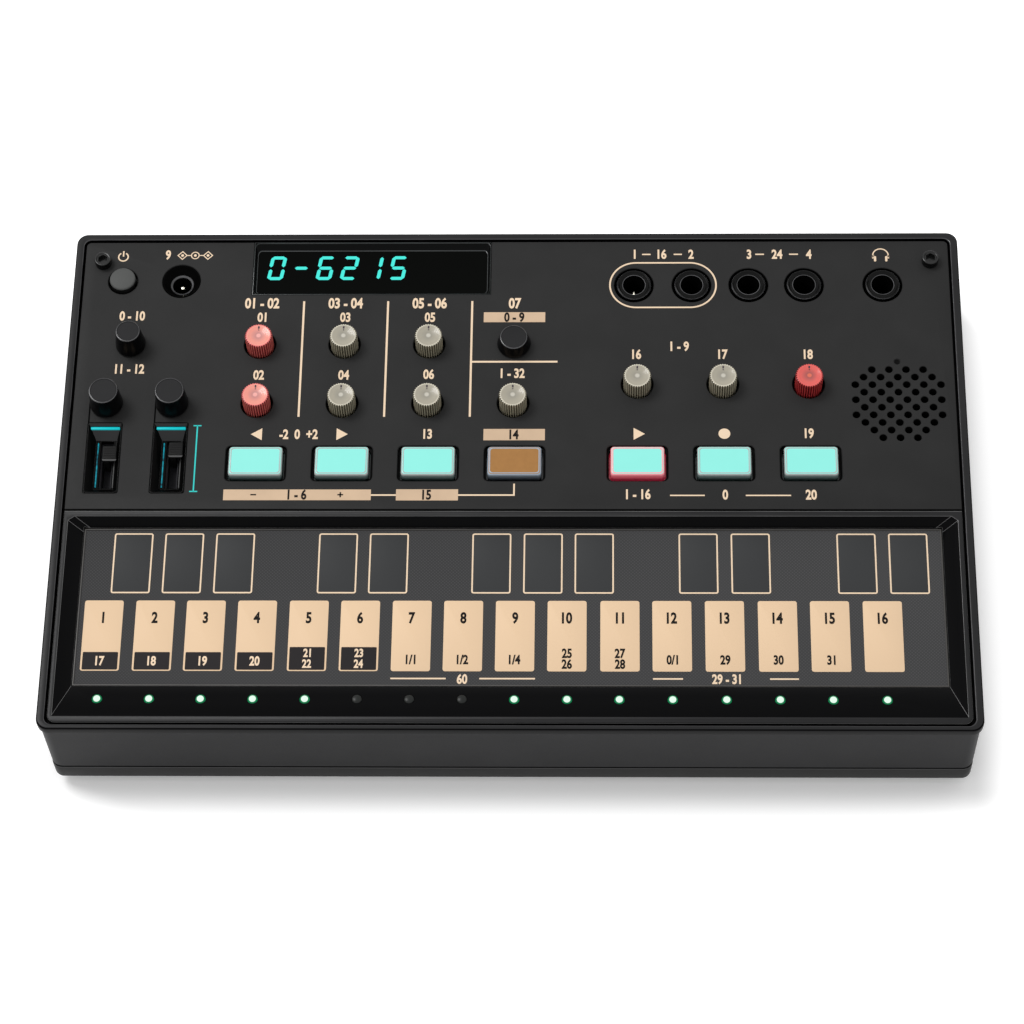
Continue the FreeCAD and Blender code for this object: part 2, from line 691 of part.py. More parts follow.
ribbed_knobs = {
    "modulator_attack_knob": (left_column(0), upper_row),
    "modulator_decay_knob": (left_column(0), lower_row),
    "carrier_attack_knob": (left_column(1), upper_row),
    "carrier_decay_knob": (left_column(1), lower_row),
    "lfo_rate_knob": (left_column(2), upper_row),
    "lfo_depth_knob": (left_column(2), lower_row),
    "algorithm_knob": (left_column(3), lower_row),
    "arp_type_knob": (right_column(0), right_row),
    "arp_division_knob": (right_column(1), right_row),
    "tempo_knob": (right_column(2), right_row),
}
smooth_knobs = {
    "volume_knob": (across("-volume_x"), upper_row, "volume"),
    "data_knob_left": (data_column(0), data_row, "data"),
    "data_knob_right": (data_column(1), data_row, "data"),
    "program_knob": (left_column(3), upper_row, "program"),
}
buttons = {
    "octave_down_button": button_column(0),
    "octave_up_button": button_column(1),
    "save_button": button_column(2),
    "edit_button": button_column(3),
    "play_button": right_column(0),
    "record_button": right_column(1),
    "memory_button": right_column(2),
}
sockets = {
    "midi_in_jack": across("midi_in_x"),
    "midi_out_jack": across("midi_out_x"),
    "sync_in_jack": across("sync_in_x"),
    "sync_out_jack": across("sync_out_x"),
    "headphone_jack": across("phones_x"),
}
sliders = {
    "left": (data_column(0), along("lever_left_y")),
    "right": (data_column(1), along("lever_right_y")),
}
signs = ("-", "")
towers = [(side + tower_x, end + tower_y) for side in signs for end in signs]
feet = [(side + "(case_width / 2 - foot_side)", end + "(case_depth / 2 - foot_end)")
        for side in signs for end in signs]
board_posts = [(side + "(case_width / 2 - post_side)", y) for side in signs
               for y in ("post_setback - %s" % board_front, "case_depth / 2 - post_end")]


# Case

def make_lower_case():
    piece = body("lower_case")
    face = sketch(piece, "tray_outline", "foot_height")
    rounded(face, "-" + wall_x, "-" + wall_y, wall_x, wall_y, "corner_radius - rim_overhang")
    tray = pad(piece, face, "tray", "lower_height")
    dressed(piece, tray, "tray_bevel", "bottom_bevel", lying_at("foot_height"), kind="Chamfer")
    face = sketch(piece, "tray_inside", lower_top)
    inner_walls(face)
    pocket(piece, face, "tray_hollow", "lower_height - floor_thickness")
    face = sketch(piece, "bay_outline", floor_top)
    rectangle(face, "-(%s + bay_wall)" % bay_x, "-(%s + bay_wall)" % bay_front,
              "%s + bay_wall" % bay_x, "bay_wall - %s" % bay_rear)
    pad(piece, face, "bay_block", "%s + bay_wall - %s" % (bay_top, floor_top))
    face = sketch(piece, "pillar_outlines", floor_top)
    for x, y in towers:
        ring(face, x, y, "head_radius + head_fit + wall / 2")
    pad(piece, face, "screw_pillars", "lower_height - floor_thickness")
    face = sketch(piece, "post_outlines", floor_top)
    for x, y in board_posts:
        ring(face, x, y, "post_radius", "small_sides")
    pad(piece, face, "board_posts", "%s - %s" % (board_under, floor_top))
    face = sketch(piece, "bay_inside", "foot_height")
    rectangle(face, "-" + bay_x, "-" + bay_front, bay_x, "-" + bay_rear)
    pocket(piece, face, "bay_hollow", "%s - foot_height" % bay_top, upward=True)
    make_cover_seat(piece)
    face = sketch(piece, "screw_bores", "foot_height")
    for x, y in towers:
        ring(face, x, y, "screw_radius + screw_fit", "small_sides")
    pocket(piece, face, "screw_holes", "lower_height", upward=True)
    face = sketch(piece, "head_bores", "foot_height")
    for x, y in towers:
        ring(face, x, y, "head_radius + head_fit", "small_sides")
    pocket(piece, face, "counterbores", "head_sink + head_height", upward=True)


def inner_walls(face):
    rectangle(face, "wall - %s" % wall_x, "wall - %s" % wall_y, "%s - wall" % wall_x, "%s - wall" % wall_y)


def make_cover_seat(piece):
    # The cover slides back in this recess until its tabs stand under the notches and drop free
    seat_x = "(%s + cover_margin + cover_fit)" % bay_x
    tab_end = "(%s + tab_reach)" % seat_x
    face = sketch(piece, "cover_seat", "foot_height")
    trimmed(face, "-" + seat_x, "-(%s + cover_margin + cover_fit)" % bay_front, seat_x,
            "(cover_margin + cover_fit + cover_travel - %s)" % bay_rear, "cover_corner")
    pocket(piece, face, "cover_recess", "cover_thickness + cover_gap", upward=True)
    lip = "(cover_thickness - tab_thickness - tab_fit)"
    runs = [
        ("tab_runs", "foot_height + %s" % lip, "0", "cover_travel", "cover_gap + tab_thickness + tab_fit"),
        ("tab_notches", "foot_height", "cover_travel", "cover_travel", "cover_thickness + cover_gap"),
    ]
    for name, height, start, end, depth in runs:
        face = sketch(piece, name + "_outline", height)
        for side in signs:
            for y in tab_rows():
                front = "%s - tab_length / 2 - cover_fit + %s" % (y, start)
                rear = "%s + tab_length / 2 + cover_fit + %s" % (y, end)
                rectangle(face, "%s(%s - cover_fit)" % (side, seat_x), front, side + tab_end, rear)
        pocket(piece, face, name, depth, upward=True)


def tab_rows():
    middle = "(-(%s + %s) / 2)" % (bay_front, bay_rear)
    return ["(%s %s tab_spread)" % (middle, sign) for sign in ("-", "+")]


def make_upper_case():
    piece = body("upper_case")
    rings = [
        ("wall_ring", "(%s + seam_gap)" % lower_top, "(%s - ledge_height)" % panel_under, "0"),
        ("ledge_ring", "(%s - ledge_height)" % panel_under, panel_under, "0"),
        ("collar_ring", panel_under, "(%s - rim_height)" % rim_top, "0"),
        ("rim_ring", "(%s - rim_height)" % rim_top, rim_top, "rim_overhang"),
    ]
    for name, low, high, reach in rings:
        face = sketch(piece, name + "_outline", low)
        rounded(face, "-(%s + %s)" % (wall_x, reach), "-(%s + %s)" % (wall_y, reach),
                "%s + %s" % (wall_x, reach), "%s + %s" % (wall_y, reach),
                "corner_radius - rim_overhang + %s" % reach)
        if name == "wall_ring":
            inner_walls(face)
        elif name == "ledge_ring":
            rectangle(face, "ledge_width - %s" % opening_x, "ledge_width - %s" % opening_front,
                      "%s - ledge_width" % opening_x, "%s - ledge_width" % opening_rear)
        else:
            rounded(face, "-" + opening_x, "-" + opening_front, opening_x, opening_rear,
                    "panel_corner + panel_gap")
        pad(piece, face, name, "%s - %s" % (high, low))
    for end, y, top in (("front", "-" + tower_y, touch_under), ("rear", tower_y, panel_under)):
        face = sketch(piece, end + "_tower_outline", lower_top)
        for side in signs:
            ring(face, side + tower_x, y, "tower_radius")
        pad(piece, face, end + "_towers", "%s - %s" % (top, lower_top))
        face = sketch(piece, end + "_rib_outline", "%s + seam_gap" % lower_top)
        for side in signs:
            rectangle(face, side + tower_x, "%s - tower_rib / 2" % y,
                      "%s(%s - wall / 2)" % (side, wall_x), "%s + tower_rib / 2" % y)
        pad(piece, face, end + "_ribs", "%s - %s - seam_gap" % (top, lower_top))
    face = sketch(piece, "tower_bores", lower_top)
    for x, y in towers:
        ring(face, x, y, "screw_radius + screw_fit", "small_sides")
    bored = pocket(piece, face, "tower_holes", "%s - %s" % (panel_under, lower_top), upward=True)
    dressed(piece, bored, "rim_edges", "rim_bevel", lying_at(rim_top), kind="Chamfer")


# Top panel

def make_top_panel():
    piece = blank("panel_sheet")
    face = sketch(piece, "panel_outline", panel_under)
    rectangle(face, "-" + panel_x, "-" + panel_front, panel_x, panel_rear)
    sheet_pad = pad(piece, face, "sheet", "panel_thickness")
    rear_corners = [(side + panel_x, panel_rear) for side in signs]
    dressed(piece, sheet_pad, "sheet_corners", "panel_corner", through(rear_corners))
    face = sketch(piece, "window_outline", panel_under)
    rectangle(face, window_left, window_front, window_right, "%s + panel_gap" % panel_rear)
    for x in buttons.values():
        cap_outline(face, x, "button_clearance")
    for x, lever_y in sliders.values():
        rectangle(face, "%s - well_width / 2" % x, well_front_end, "%s + well_width / 2" % x, well_rear_end)
    pocket(piece, face, "openings", "panel_thickness", upward=True)
    face = sketch(piece, "recess_outlines", panel_top)
    for x in buttons.values():
        cap_outline(face, x, "(button_clearance + recess_margin)")
    pocket(piece, face, "recesses", "recess_depth")
    face = sketch(piece, "groove_outlines", panel_top)
    for x, lever_y in sliders.values():
        left = "%s - well_width / 2" % x
        rectangle(face, left, well_y, left + " + groove_width", "%s + groove_reach" % data_row)
    pocket(piece, face, "grooves", "groove_depth")
    keep(cut("top_panel", piece, cluster("panel_drills", panel_drills())), "top_panel")


def panel_drills():
    drills = []

    def drill(x, y, radius, sides="round_sides"):
        drills.append(prism("drill_%d" % len(drills), x, y, panel_under, radius, "panel_thickness", sides))
    for x, y in ribbed_knobs.values():
        drill(x, y, "knob_radius + knob_clearance")
    for x, y, kind in smooth_knobs.values():
        drill(x, y, "shaft_room", "small_sides")
    for x in sockets.values():
        drill(x, socket_row, "socket_hole")
    for side in signs:
        drill(side + tower_x, tower_y, "screw_radius + screw_fit", "small_sides")
    for x, y in grille_holes():
        drill(x, y, "grille_hole", "small_sides")
    drill(inlet_x, power_y, "inlet_hole", "smooth_sides")
    drill(power_x, power_y, "power_radius + power_clearance", "smooth_sides")
    dimple = prism("dimple_drill", speaker_x, "%s + dimple_setback" % speaker_y,
                   "%s - dimple_depth" % panel_top, "dimple_radius", "dimple_depth", "small_sides")
    drills.append(dimple)
    return drills


def cap_outline(face, x, reach):
    front = "%s - button_depth / 2 - %s" % (button_row, reach)
    rear = "%s + button_depth / 2 + %s" % (button_row, reach)
    trimmed(face, "%s - button_width / 2 - %s" % (x, reach), front,
            "%s + button_width / 2 + %s" % (x, reach), rear, "button_corner")


def grille_holes():
    # Every other row is offset by half a pitch, and the rows are clipped to a circle
    pitch = number("grille_pitch")
    reach = number("grille_reach")
    most = int(reach / pitch) + 1
    holes = []
    for row in range(int(number("grille_rows"))):
        back = "(%d * grille_row - grille_first)" % row
        y = "(%s + %s)" % (speaker_y, back)
        for column in range(-most, most + 1):
            steps = column + row % 2 / 2
            if math.hypot(steps * pitch, number(back)) <= reach:
                holes.append(("(%s + %s * grille_pitch)" % (speaker_x, steps), y))
    return holes


# Keyboard

def make_keyboard_bezel():
    piece = blank("bezel_frame")
    face = sketch(piece, "body_outline", bezel_under)
    inner_x = "(%s - ledge_width - ledge_fit)" % opening_x
    rectangle(face, "-" + inner_x, "ledge_width + ledge_fit - %s" % opening_front, inner_x, "-" + bezel_shelf)
    pad(piece, face, "inner_body", "bezel_body")
    face = sketch(piece, "flange_outline", panel_under)
    rectangle(face, "-" + panel_x, "-" + bezel_front, panel_x, "-" + bezel_rear)
    flange = pad(piece, face, "flange", "panel_thickness")
    front_corners = [(side + panel_x, "-" + bezel_front) for side in signs]
    dressed(piece, flange, "front_corners", "bezel_corner", through(front_corners))
    upper = sketch(piece, "slope_top", panel_top)
    rectangle(upper, "lip_side - %s" % panel_x, "lip_front - %s" % bezel_front,
              "%s - lip_side" % panel_x, "-(%s + lip_rear)" % bezel_rear)
    lower = sketch(piece, "slope_foot", slope_foot)
    plate_opening(lower, "0")
    sloped_pocket(piece, upper, lower, "slopes")
    face = sketch(piece, "plate_opening", slope_foot)
    plate_opening(face, "0")
    opened = pocket(piece, face, "plate_hole", "%s - %s" % (slope_foot, bezel_under))
    middle_x = "(%s + slope_side / 2)" % plate_x
    middle_y = "slope_rear / 2 - %s" % plate_rear
    mitres = [(side + middle_x, middle_y) for side in signs]
    dressed(piece, opened, "rear_mitres", "slope_corner", through(mitres), kind="Chamfer")
    drills = step_prisms("light_drill", "step_radius + step_clearance", "bezel_body + panel_thickness")
    keep(cut("keyboard_bezel", piece, cluster("light_drills", drills)), "keyboard_bezel")


def plate_opening(face, gap):
    rectangle(face, "%s - %s" % (gap, plate_x), "%s - %s" % (gap, plate_front),
              "%s - %s" % (plate_x, gap), "-(%s + %s)" % (plate_rear, gap))


def step_columns():
    count = int(number("step_count"))
    return [across("%s * step_pitch - step_middle" % (index - (count - 1) / 2)) for index in range(count)]


def step_prisms(name, radius, height):
    return [prism("%s_%d" % (name, index), x, step_y, bezel_under, radius, height, "small_sides")
            for index, x in enumerate(step_columns(), start=1)]


def make_touch_plate():
    piece = body("touch_plate")
    face = sketch(piece, "plate_outline", bezel_under)
    plate_opening(face, "plate_fit")
    pad(piece, face, "plate", "plate_thickness + plate_edge_height")
    face = sketch(piece, "face_outline", "%s + plate_thickness" % bezel_under)
    plate_opening(face, "(plate_fit + plate_edge)")
    pocket(piece, face, "face_recess", "plate_edge_height", upward=True)


def make_touch_sensor_board():
    piece = body("touch_sensor_board")
    face = sketch(piece, "board_outline", touch_under)
    inner_x = "(%s - ledge_width - ledge_fit - touch_board_inset)" % opening_x
    rectangle(face, "-" + inner_x, "ledge_width + ledge_fit + touch_board_inset - %s" % opening_front,
              inner_x, "-" + bezel_shelf)
    pad(piece, face, "board", "touch_board")
    face = sketch(piece, "tongue_outline", touch_under)
    half = "(header_length / 2 + tongue_margin)"
    rectangle(face, "-" + half, "-" + plate_front, half, "tongue_reach - %s" % board_front)
    pad(piece, face, "tongue", "touch_board")


def make_step_leds():
    # The tops follow the front slope, which rises towards the front
    rise = "(-%s - %s) / slope_front * slope_depth" % (step_y, plate_front)
    height = "%s + %s + step_proud - %s" % (slope_foot, rise, bezel_under)
    group("step_leds", step_prisms("step_led", "step_radius", height))


# Knobs

def shaft_foot():
    return "(%s + pot_height - pot_hold)" % board_top


def make_shaft(piece, top):
    face = sketch(piece, "shaft_outline", shaft_foot())
    ring(face, "0", "0", "shaft_radius", "small_sides")
    pad(piece, face, "shaft", "%s - %s" % (top, shaft_foot()))


def make_ribbed_knob(name, x, y):
    piece = body(name, x, y)
    foot = "(%s - knob_sink)" % panel_top
    top = "(%s + knob_height)" % panel_top
    make_shaft(piece, foot)
    face = sketch(piece, "rib_outline", foot)
    facets(face, "0", "0", ["knob_radius", "knob_radius - knurl_depth"], 2 * int(number("knurl_count")))
    pad(piece, face, "ribs", "knob_height + knob_sink")
    face = sketch(piece, "pointer_outline", top)
    reach = "(knob_radius - knurl_depth - knob_bevel)"
    rectangle(face, "-pointer_width / 2", "%s - pointer_length" % reach, "pointer_width / 2", reach)
    pocket(piece, face, "pointer", "pointer_depth")


def make_smooth_knob(name, x, y, kind):
    piece = body(name, x, y)
    foot = "(%s + knob_lift)" % panel_top
    top = "(%s + %s_height)" % (panel_top, kind)
    rim = "(%s_radius - %s_taper)" % (kind, kind)
    make_shaft(piece, foot)
    faces = []
    for name, height, radius in (("foot", foot, kind + "_radius"), ("rim", "%s - knob_bevel" % top, rim),
                                 ("top", top, "%s - knob_bevel" % rim)):
        faces.append(sketch(piece, name + "_outline", height))
        ring(faces[-1], "0", "0", radius, "smooth_sides")
    loft(piece, faces, "knob")


def make_potentiometers():
    spots = [(x, y) for x, y in ribbed_knobs.values()] + [(x, y) for x, y, kind in smooth_knobs.values()]
    depth = "(pot_hold + pot_room)"
    solids = []
    for index, (x, y) in enumerate(spots, start=1):
        case = block("pot_case_%d" % index, x, y, board_top, "pot_side", "pot_side", "pot_height")
        bore = block("pot_bore_%d" % index, x, y, "%s + pot_height - %s" % (board_top, depth),
                     "(2 * shaft_room)", "(2 * shaft_room)", depth)
        solids.append(cut("potentiometer_%d" % index, case, bore))
    group("potentiometers", solids)


# Buttons

def stem_foot():
    return "(%s + switch_height - stem_hold)" % board_top


def flange_foot():
    return "(%s - flange_gap - flange_thickness)" % panel_under


def make_button(name, x):
    piece = body(name, x, button_row)
    outlines = [
        ("stem", "stem_side", "stem_side", stem_foot(), flange_foot()),
        ("flange", "button_width + 2 * flange_margin", "button_depth + 2 * flange_margin",
         flange_foot(), "(%s + flange_thickness)" % flange_foot()),
    ]
    for part, width, depth, low, high in outlines:
        face = sketch(piece, part + "_outline", low)
        rectangle(face, "-(%s) / 2" % width, "-(%s) / 2" % depth, "(%s) / 2" % width, "(%s) / 2" % depth)
        pad(piece, face, part, "%s - %s" % (high, low))
    face = sketch(piece, "cap_outline", "%s + flange_thickness" % flange_foot())
    trimmed(face, "-button_width / 2", "-button_depth / 2", "button_width / 2", "button_depth / 2",
            "button_corner")
    height = "%s + button_height - %s - flange_thickness" % (panel_top, flange_foot())
    return piece, pad(piece, face, "cap", height), "(%s + button_height)" % panel_top


def make_power_button():
    piece = body("power_button", power_x, power_y)
    face = sketch(piece, "stem_outline", stem_foot())
    rectangle(face, "-power_stem / 2", "-power_stem / 2", "power_stem / 2", "power_stem / 2")
    pad(piece, face, "stem", "%s - %s" % (flange_foot(), stem_foot()))
    face = sketch(piece, "flange_outline", flange_foot())
    ring(face, "0", "0", "power_radius + flange_margin")
    pad(piece, face, "flange", "flange_thickness")
    face = sketch(piece, "cap_outline", "%s + flange_thickness" % flange_foot())
    ring(face, "0", "0", "power_radius", "smooth_sides")
    height = "%s + power_height - %s - flange_thickness" % (panel_top, flange_foot())
    return piece, pad(piece, face, "cap", height), "(%s + power_height)" % panel_top


def make_all_buttons():
    # All caps are there before the first bevel, because a bevel has to wait for the shape it is on
    caps = [make_button(name, x) for name, x in buttons.items()] + [make_power_button()]
    for piece, cap, top in caps:
        dressed(piece, cap, "cap_bevel", "button_bevel", lying_at(top), kind="Chamfer")


def make_switches():
    depth = "(stem_hold + button_travel + stem_room)"
    foot = "%s + switch_height - %s" % (board_top, depth)
    solids = []

    def switch(name, x, y, side, stem):
        case = block(name + "_case", x, y, board_top, side, side, "switch_height")
        room = "(%s + 2 * stem_fit)" % stem
        return cut(name, case, block(name + "_well", x, y, foot, room, room, depth))
    for index, x in enumerate(buttons.values(), start=1):
        solids.append(switch("button_switch_%d" % index, x, button_row, "switch_side", "stem_side"))
    group("button_switches", solids)
    keep(switch("power_switch", power_x, power_y, "power_switch", "power_stem"), "power_switch")


# Sliders

def make_slider_well(side, x):
    piece = body("slider_well_" + side, x, well_y)
    outer_x = "(well_width / 2 - well_fit)"
    outer_y = "(%s / 2 - well_fit)" % well_length
    floor = "(%s - well_depth)" % panel_top
    face = sketch(piece, "tray_outline", "%s - well_floor" % floor)
    rectangle(face, "-" + outer_x, "-" + outer_y, outer_x, outer_y)
    pad(piece, face, "tray", "well_depth + well_floor")
    inner_x = "(%s - well_lip)" % outer_x
    inner_y = "(%s - well_lip)" % outer_y
    upper = ("-" + inner_x, "-" + inner_y, inner_x, inner_y)
    lower = ("well_left - %s" % inner_x, "well_front - %s" % inner_y, "%s - well_right" % inner_x,
             "%s - well_rear" % inner_y)
    wedge_pocket(piece, "slopes", upper, lower, floor, panel_top)
    face = sketch(piece, "slot_outline", floor)
    slot_outline(face)
    pocket(piece, face, "slot", "well_floor")
    face = sketch(piece, "line_seat", floor)
    half = "(line_width / 2 + light_fit)"
    rectangle(face, "-(line_offset + %s)" % half, "well_front + line_inset - light_fit - %s" % inner_y,
              "%s - line_offset" % half, "%s - well_rear - line_inset + light_fit" % inner_y)
    pocket(piece, face, "line_groove", "line_sink")
    face = sketch(piece, "bar_seat", panel_top)
    middle = "%s / 2 - bar_setback" % well_length
    half = "(bar_depth / 2 + light_fit)"
    rectangle(face, "-(bar_width / 2 + light_fit)", "%s - %s" % (middle, half),
              "bar_width / 2 + light_fit", "%s + %s" % (middle, half))
    pocket(piece, face, "bar_groove", "bar_drop + bar_height")


def floor_end():
    # Half the length of a well inside its lip
    return "(%s / 2 - well_fit - well_lip)" % well_length


def slot_outline(face):
    rectangle(face, "slot_offset - slot_width / 2", "well_front + slot_inset - %s" % floor_end(),
              "slot_offset + slot_width / 2", "%s - well_rear - slot_inset" % floor_end())


def make_slider_lights():
    floor = "(%s - well_depth)" % panel_top
    length = "(2 * %s - well_front - well_rear - 2 * line_inset)" % floor_end()
    middle = "%s + (well_front - well_rear) / 2" % well_y
    lights = []
    for side, (x, lever_y) in sliders.items():
        lights.append(block("light_bar_" + side, x, "%s - bar_setback" % well_rear_end,
                            "%s - bar_drop - bar_height" % panel_top, "bar_width", "bar_depth", "bar_height"))
        lights.append(block("light_line_" + side, "%s - line_offset" % x, middle, "%s - line_sink" % floor,
                            "line_width", length, "line_sink + line_proud"))
    group("slider_lights", lights)


def slide_top():
    return "(%s - well_depth - well_floor - slide_gap)" % panel_top


def make_slider(side, x, y):
    # The body's own origin is on the stem, so the cap stands to its right
    piece = body("slider_" + side, "%s + slot_offset" % x, y)
    top = "(%s - lever_drop)" % panel_top
    foot = "(%s - blade_hold)" % slide_top()
    face = sketch(piece, "stem_outline", foot)
    rectangle(face, "-blade_width / 2", "-blade_length / 2", "blade_width / 2", "blade_length / 2")
    pad(piece, face, "stem", "%s - lever_thickness - %s" % (top, foot))
    face = sketch(piece, "cap_outline", "%s - lever_thickness" % top)
    left = "lever_shift - lever_width / 2"
    right = "lever_shift + lever_width / 2"
    rectangle(face, left, "-lever_length / 2", right, "lever_length / 2")
    pad(piece, face, "cap", "lever_thickness")
    face = sketch(piece, "lip_outline", top)
    rectangle(face, left, "-lever_length / 2", right, "lip_length - lever_length / 2")
    pocket(piece, face, "lip", "lip_drop")


def make_slide_potentiometers():
    run = "(2 * %s - well_front - well_rear - 2 * slot_inset)" % floor_end()
    depth = "(blade_hold + blade_fit)"
    length = "(%s - 2 * slide_inset)" % well_length
    solids = []
    for side, (x, lever_y) in sliders.items():
        stem_x = "(%s + slot_offset)" % x
        case = block("slide_case_" + side, stem_x, well_y, board_top, "slide_width", length,
                     "%s - %s" % (slide_top(), board_top))
        track = block("slide_track_" + side, stem_x, "%s + (well_front - well_rear) / 2" % well_y,
                      "%s - %s" % (slide_top(), depth), "(blade_width + 2 * blade_fit)", run, depth)
        solids.append(cut("slide_potentiometer_" + side, case, track))
    group("slide_potentiometers", solids)


# Sockets and the DC inlet

def make_socket(name, x):
    piece = body(name, x, socket_row)
    face = sketch(piece, "body_outline", board_top)
    rectangle(face, "-socket_side / 2", "-socket_side / 2", "socket_side / 2", "socket_side / 2")
    neck = "(%s - socket_gap)" % panel_under
    pad(piece, face, "housing", "%s - %s" % (neck, board_top))
    top = "(%s + socket_proud)" % panel_top
    face = sketch(piece, "collar_outline", neck)
    ring(face, "0", "0", "socket_collar")
    pad(piece, face, "collar", "%s - %s" % (top, neck))
    upper = sketch(piece, "mouth_outline", top)
    ring(upper, "0", "0", "socket_mouth")
    lower = sketch(piece, "mouth_foot", "%s - socket_mouth_depth" % top)
    ring(lower, "0", "0", "plug_bore + socket_step")
    sloped_pocket(piece, upper, lower, "mouth")
    foot = "(%s - plug_depth)" % top
    bore(piece, "plug_bore", foot, top)


def bore(piece, radius, low, high):
    turned(piece, "bore", [("0", low), (radius, low), (radius, high), ("0", high)], kind="Groove")


def make_dc_jack():
    piece = body("dc_jack", inlet_x, power_y)
    face = sketch(piece, "body_outline", board_top)
    rectangle(face, "-socket_side / 2", "-socket_side / 2", "socket_side / 2", "socket_side / 2")
    neck = "(%s - socket_gap)" % panel_under
    pad(piece, face, "housing", "%s - %s" % (neck, board_top))
    face = sketch(piece, "neck_outline", neck)
    ring(face, "0", "0", "inlet_hole - inlet_fit", "smooth_sides")
    pad(piece, face, "neck", "%s - %s" % (panel_top, neck))
    foot = "(%s - inlet_depth)" % panel_top
    ledge = "(%s - inlet_funnel)" % panel_top
    face = sketch(piece, "funnel_outline", panel_top)
    ring(face, "0", "0", "inlet_bore + inlet_step", "smooth_sides")
    sunk = pocket(piece, face, "funnel_hole", "inlet_funnel")
    mouth = lying_at(panel_top, "inlet_bore + inlet_step")
    funnel = dressed(piece, sunk, "funnel", "inlet_funnel - inlet_land", mouth, kind="Chamfer")
    funnel.ChamferType = "Two distances"
    funnel.FlipDirection = True
    bind(funnel, Size2="inlet_hole - inlet_fit - inlet_lip - inlet_bore - inlet_step")
    bore(piece, "inlet_bore", foot, ledge)
    face = sketch(piece, "pin_outline", foot)
    ring(face, "0", "0", "inlet_pin", "small_sides")
    pad(piece, face, "pin", "inlet_depth - inlet_pin_drop")


# Display

def make_display_window():
    piece = body("display_window")
    left = "(%s + window_fit)" % window_left
    right = "(%s - window_fit)" % window_right
    front = "(%s + window_fit)" % window_front
    face = sketch(piece, "window_outline", panel_under)
    rectangle(face, left, front, right, panel_rear)
    pad(piece, face, "frame", "panel_thickness")
    upper = sketch(piece, "slope_top", panel_top)
    rectangle(upper, "%s + window_lip" % left, "%s + window_lip" % front, "%s - window_lip" % right,
              "%s - window_lip" % panel_rear)
    lower = sketch(piece, "slope_foot", "%s - window_depth" % panel_top)
    rectangle(lower, "%s + window_lip + window_side" % left, "%s + window_lip + window_side" % front,
              "%s - window_lip - window_side" % right, "%s - window_lip - window_rear" % panel_rear)
    sloped_pocket(piece, upper, lower, "slopes")


def make_display_module():
    x = "((%s + %s) / 2)" % (window_left, window_right)
    y = "((%s + %s) / 2)" % (window_front, panel_rear)
    height = "%s - module_gap - %s" % (panel_under, board_top)
    keep(block("display_module", x, y, board_top, "module_width", "module_depth", height), "display_module")


# Inner pieces

def make_speaker():
    piece = body("speaker", speaker_x, speaker_y)
    under = "(%s - speaker_frame)" % panel_under
    foot = "(%s - basket_height)" % under
    squares = [("frame", "speaker_side", under, "speaker_frame"),
               ("basket", "basket_side", foot, "basket_height")]
    for part, side, height, length in squares:
        face = sketch(piece, part + "_outline", height)
        rectangle(face, "-%s / 2" % side, "-%s / 2" % side, "%s / 2" % side, "%s / 2" % side)
        pad(piece, face, part, length)
    face = sketch(piece, "magnet_outline", "%s - magnet_height" % foot)
    ring(face, "0", "0", "magnet_radius")
    pad(piece, face, "magnet", "magnet_height")
    face = sketch(piece, "cone_rim", panel_under)
    ring(face, "0", "0", "cone_radius")
    pocket(piece, face, "cone", "cone_depth")


def make_main_board():
    piece = body("main_board")
    face = sketch(piece, "board_outline", board_under)
    notch_x = "(%s - tower_radius - board_notch)" % tower_x
    notch_y = "(%s - tower_radius - board_notch)" % tower_y
    polygon(face, [("-" + board_x, "-" + board_front), (board_x, "-" + board_front), (board_x, notch_y),
                   (notch_x, notch_y), (notch_x, board_rear), ("-" + notch_x, board_rear),
                   ("-" + notch_x, notch_y), ("-" + board_x, notch_y)])
    pad(piece, face, "board", "board_thickness")


def make_board_header():
    header = block("board_header", "0", "(header_setback - %s)" % board_front, board_top, "header_length",
                   "header_width", "%s - %s" % (touch_under, board_top))
    keep(header, "board_header")


def make_batteries():
    # Each row points the other way, so its springs and its caps change ends
    cells = []
    contacts = []
    for row in range(int(number("cell_rows"))):
        y = "%d * cell_pitch + cell_radius + bay_fit - %s" % (row, bay_front)
        sign = "-" if row % 2 else ""
        facing = (-1 if row % 2 else 1, 0, 0)
        along = "%s(contact_fit + contact_thickness - %s + " % (sign, bay_x)
        whole = "(cell_length + cell_cap + cell_gap)"

        def lying(name, start, radius, length, sides):
            return prism(name, along + start + ")", y, cell_middle, radius, length, sides, facing)
        contacts.append(lying("spring_%d" % row, "0", "spring_radius", "spring_length", "small_sides"))
        for column in range(2):
            start = "spring_length + cell_gap + %d * %s" % (column, whole)
            label = "%d_%d" % (row, column)
            can = lying("cell_can_" + label, start, "cell_radius", "cell_length", "round_sides")
            cap = lying("cell_cap_" + label, start + " + cell_length", "cell_cap_radius", "cell_cap",
                        "small_sides")
            cells.append(fused("cell_" + label, [can, cap]))
        for side, inward in (("-", "+"), ("", "-")):
            x = "(%s%s %s (contact_fit + contact_thickness / 2))" % (side, bay_x, inward)
            name = "plate_%d_%s" % (row, "left" if side else "right")
            contacts.append(block(name, x, y, "%s - contact_side / 2" % cell_middle, "contact_thickness",
                                  "contact_side", "contact_side"))
    group("batteries", cells)
    group("battery_contacts", contacts)


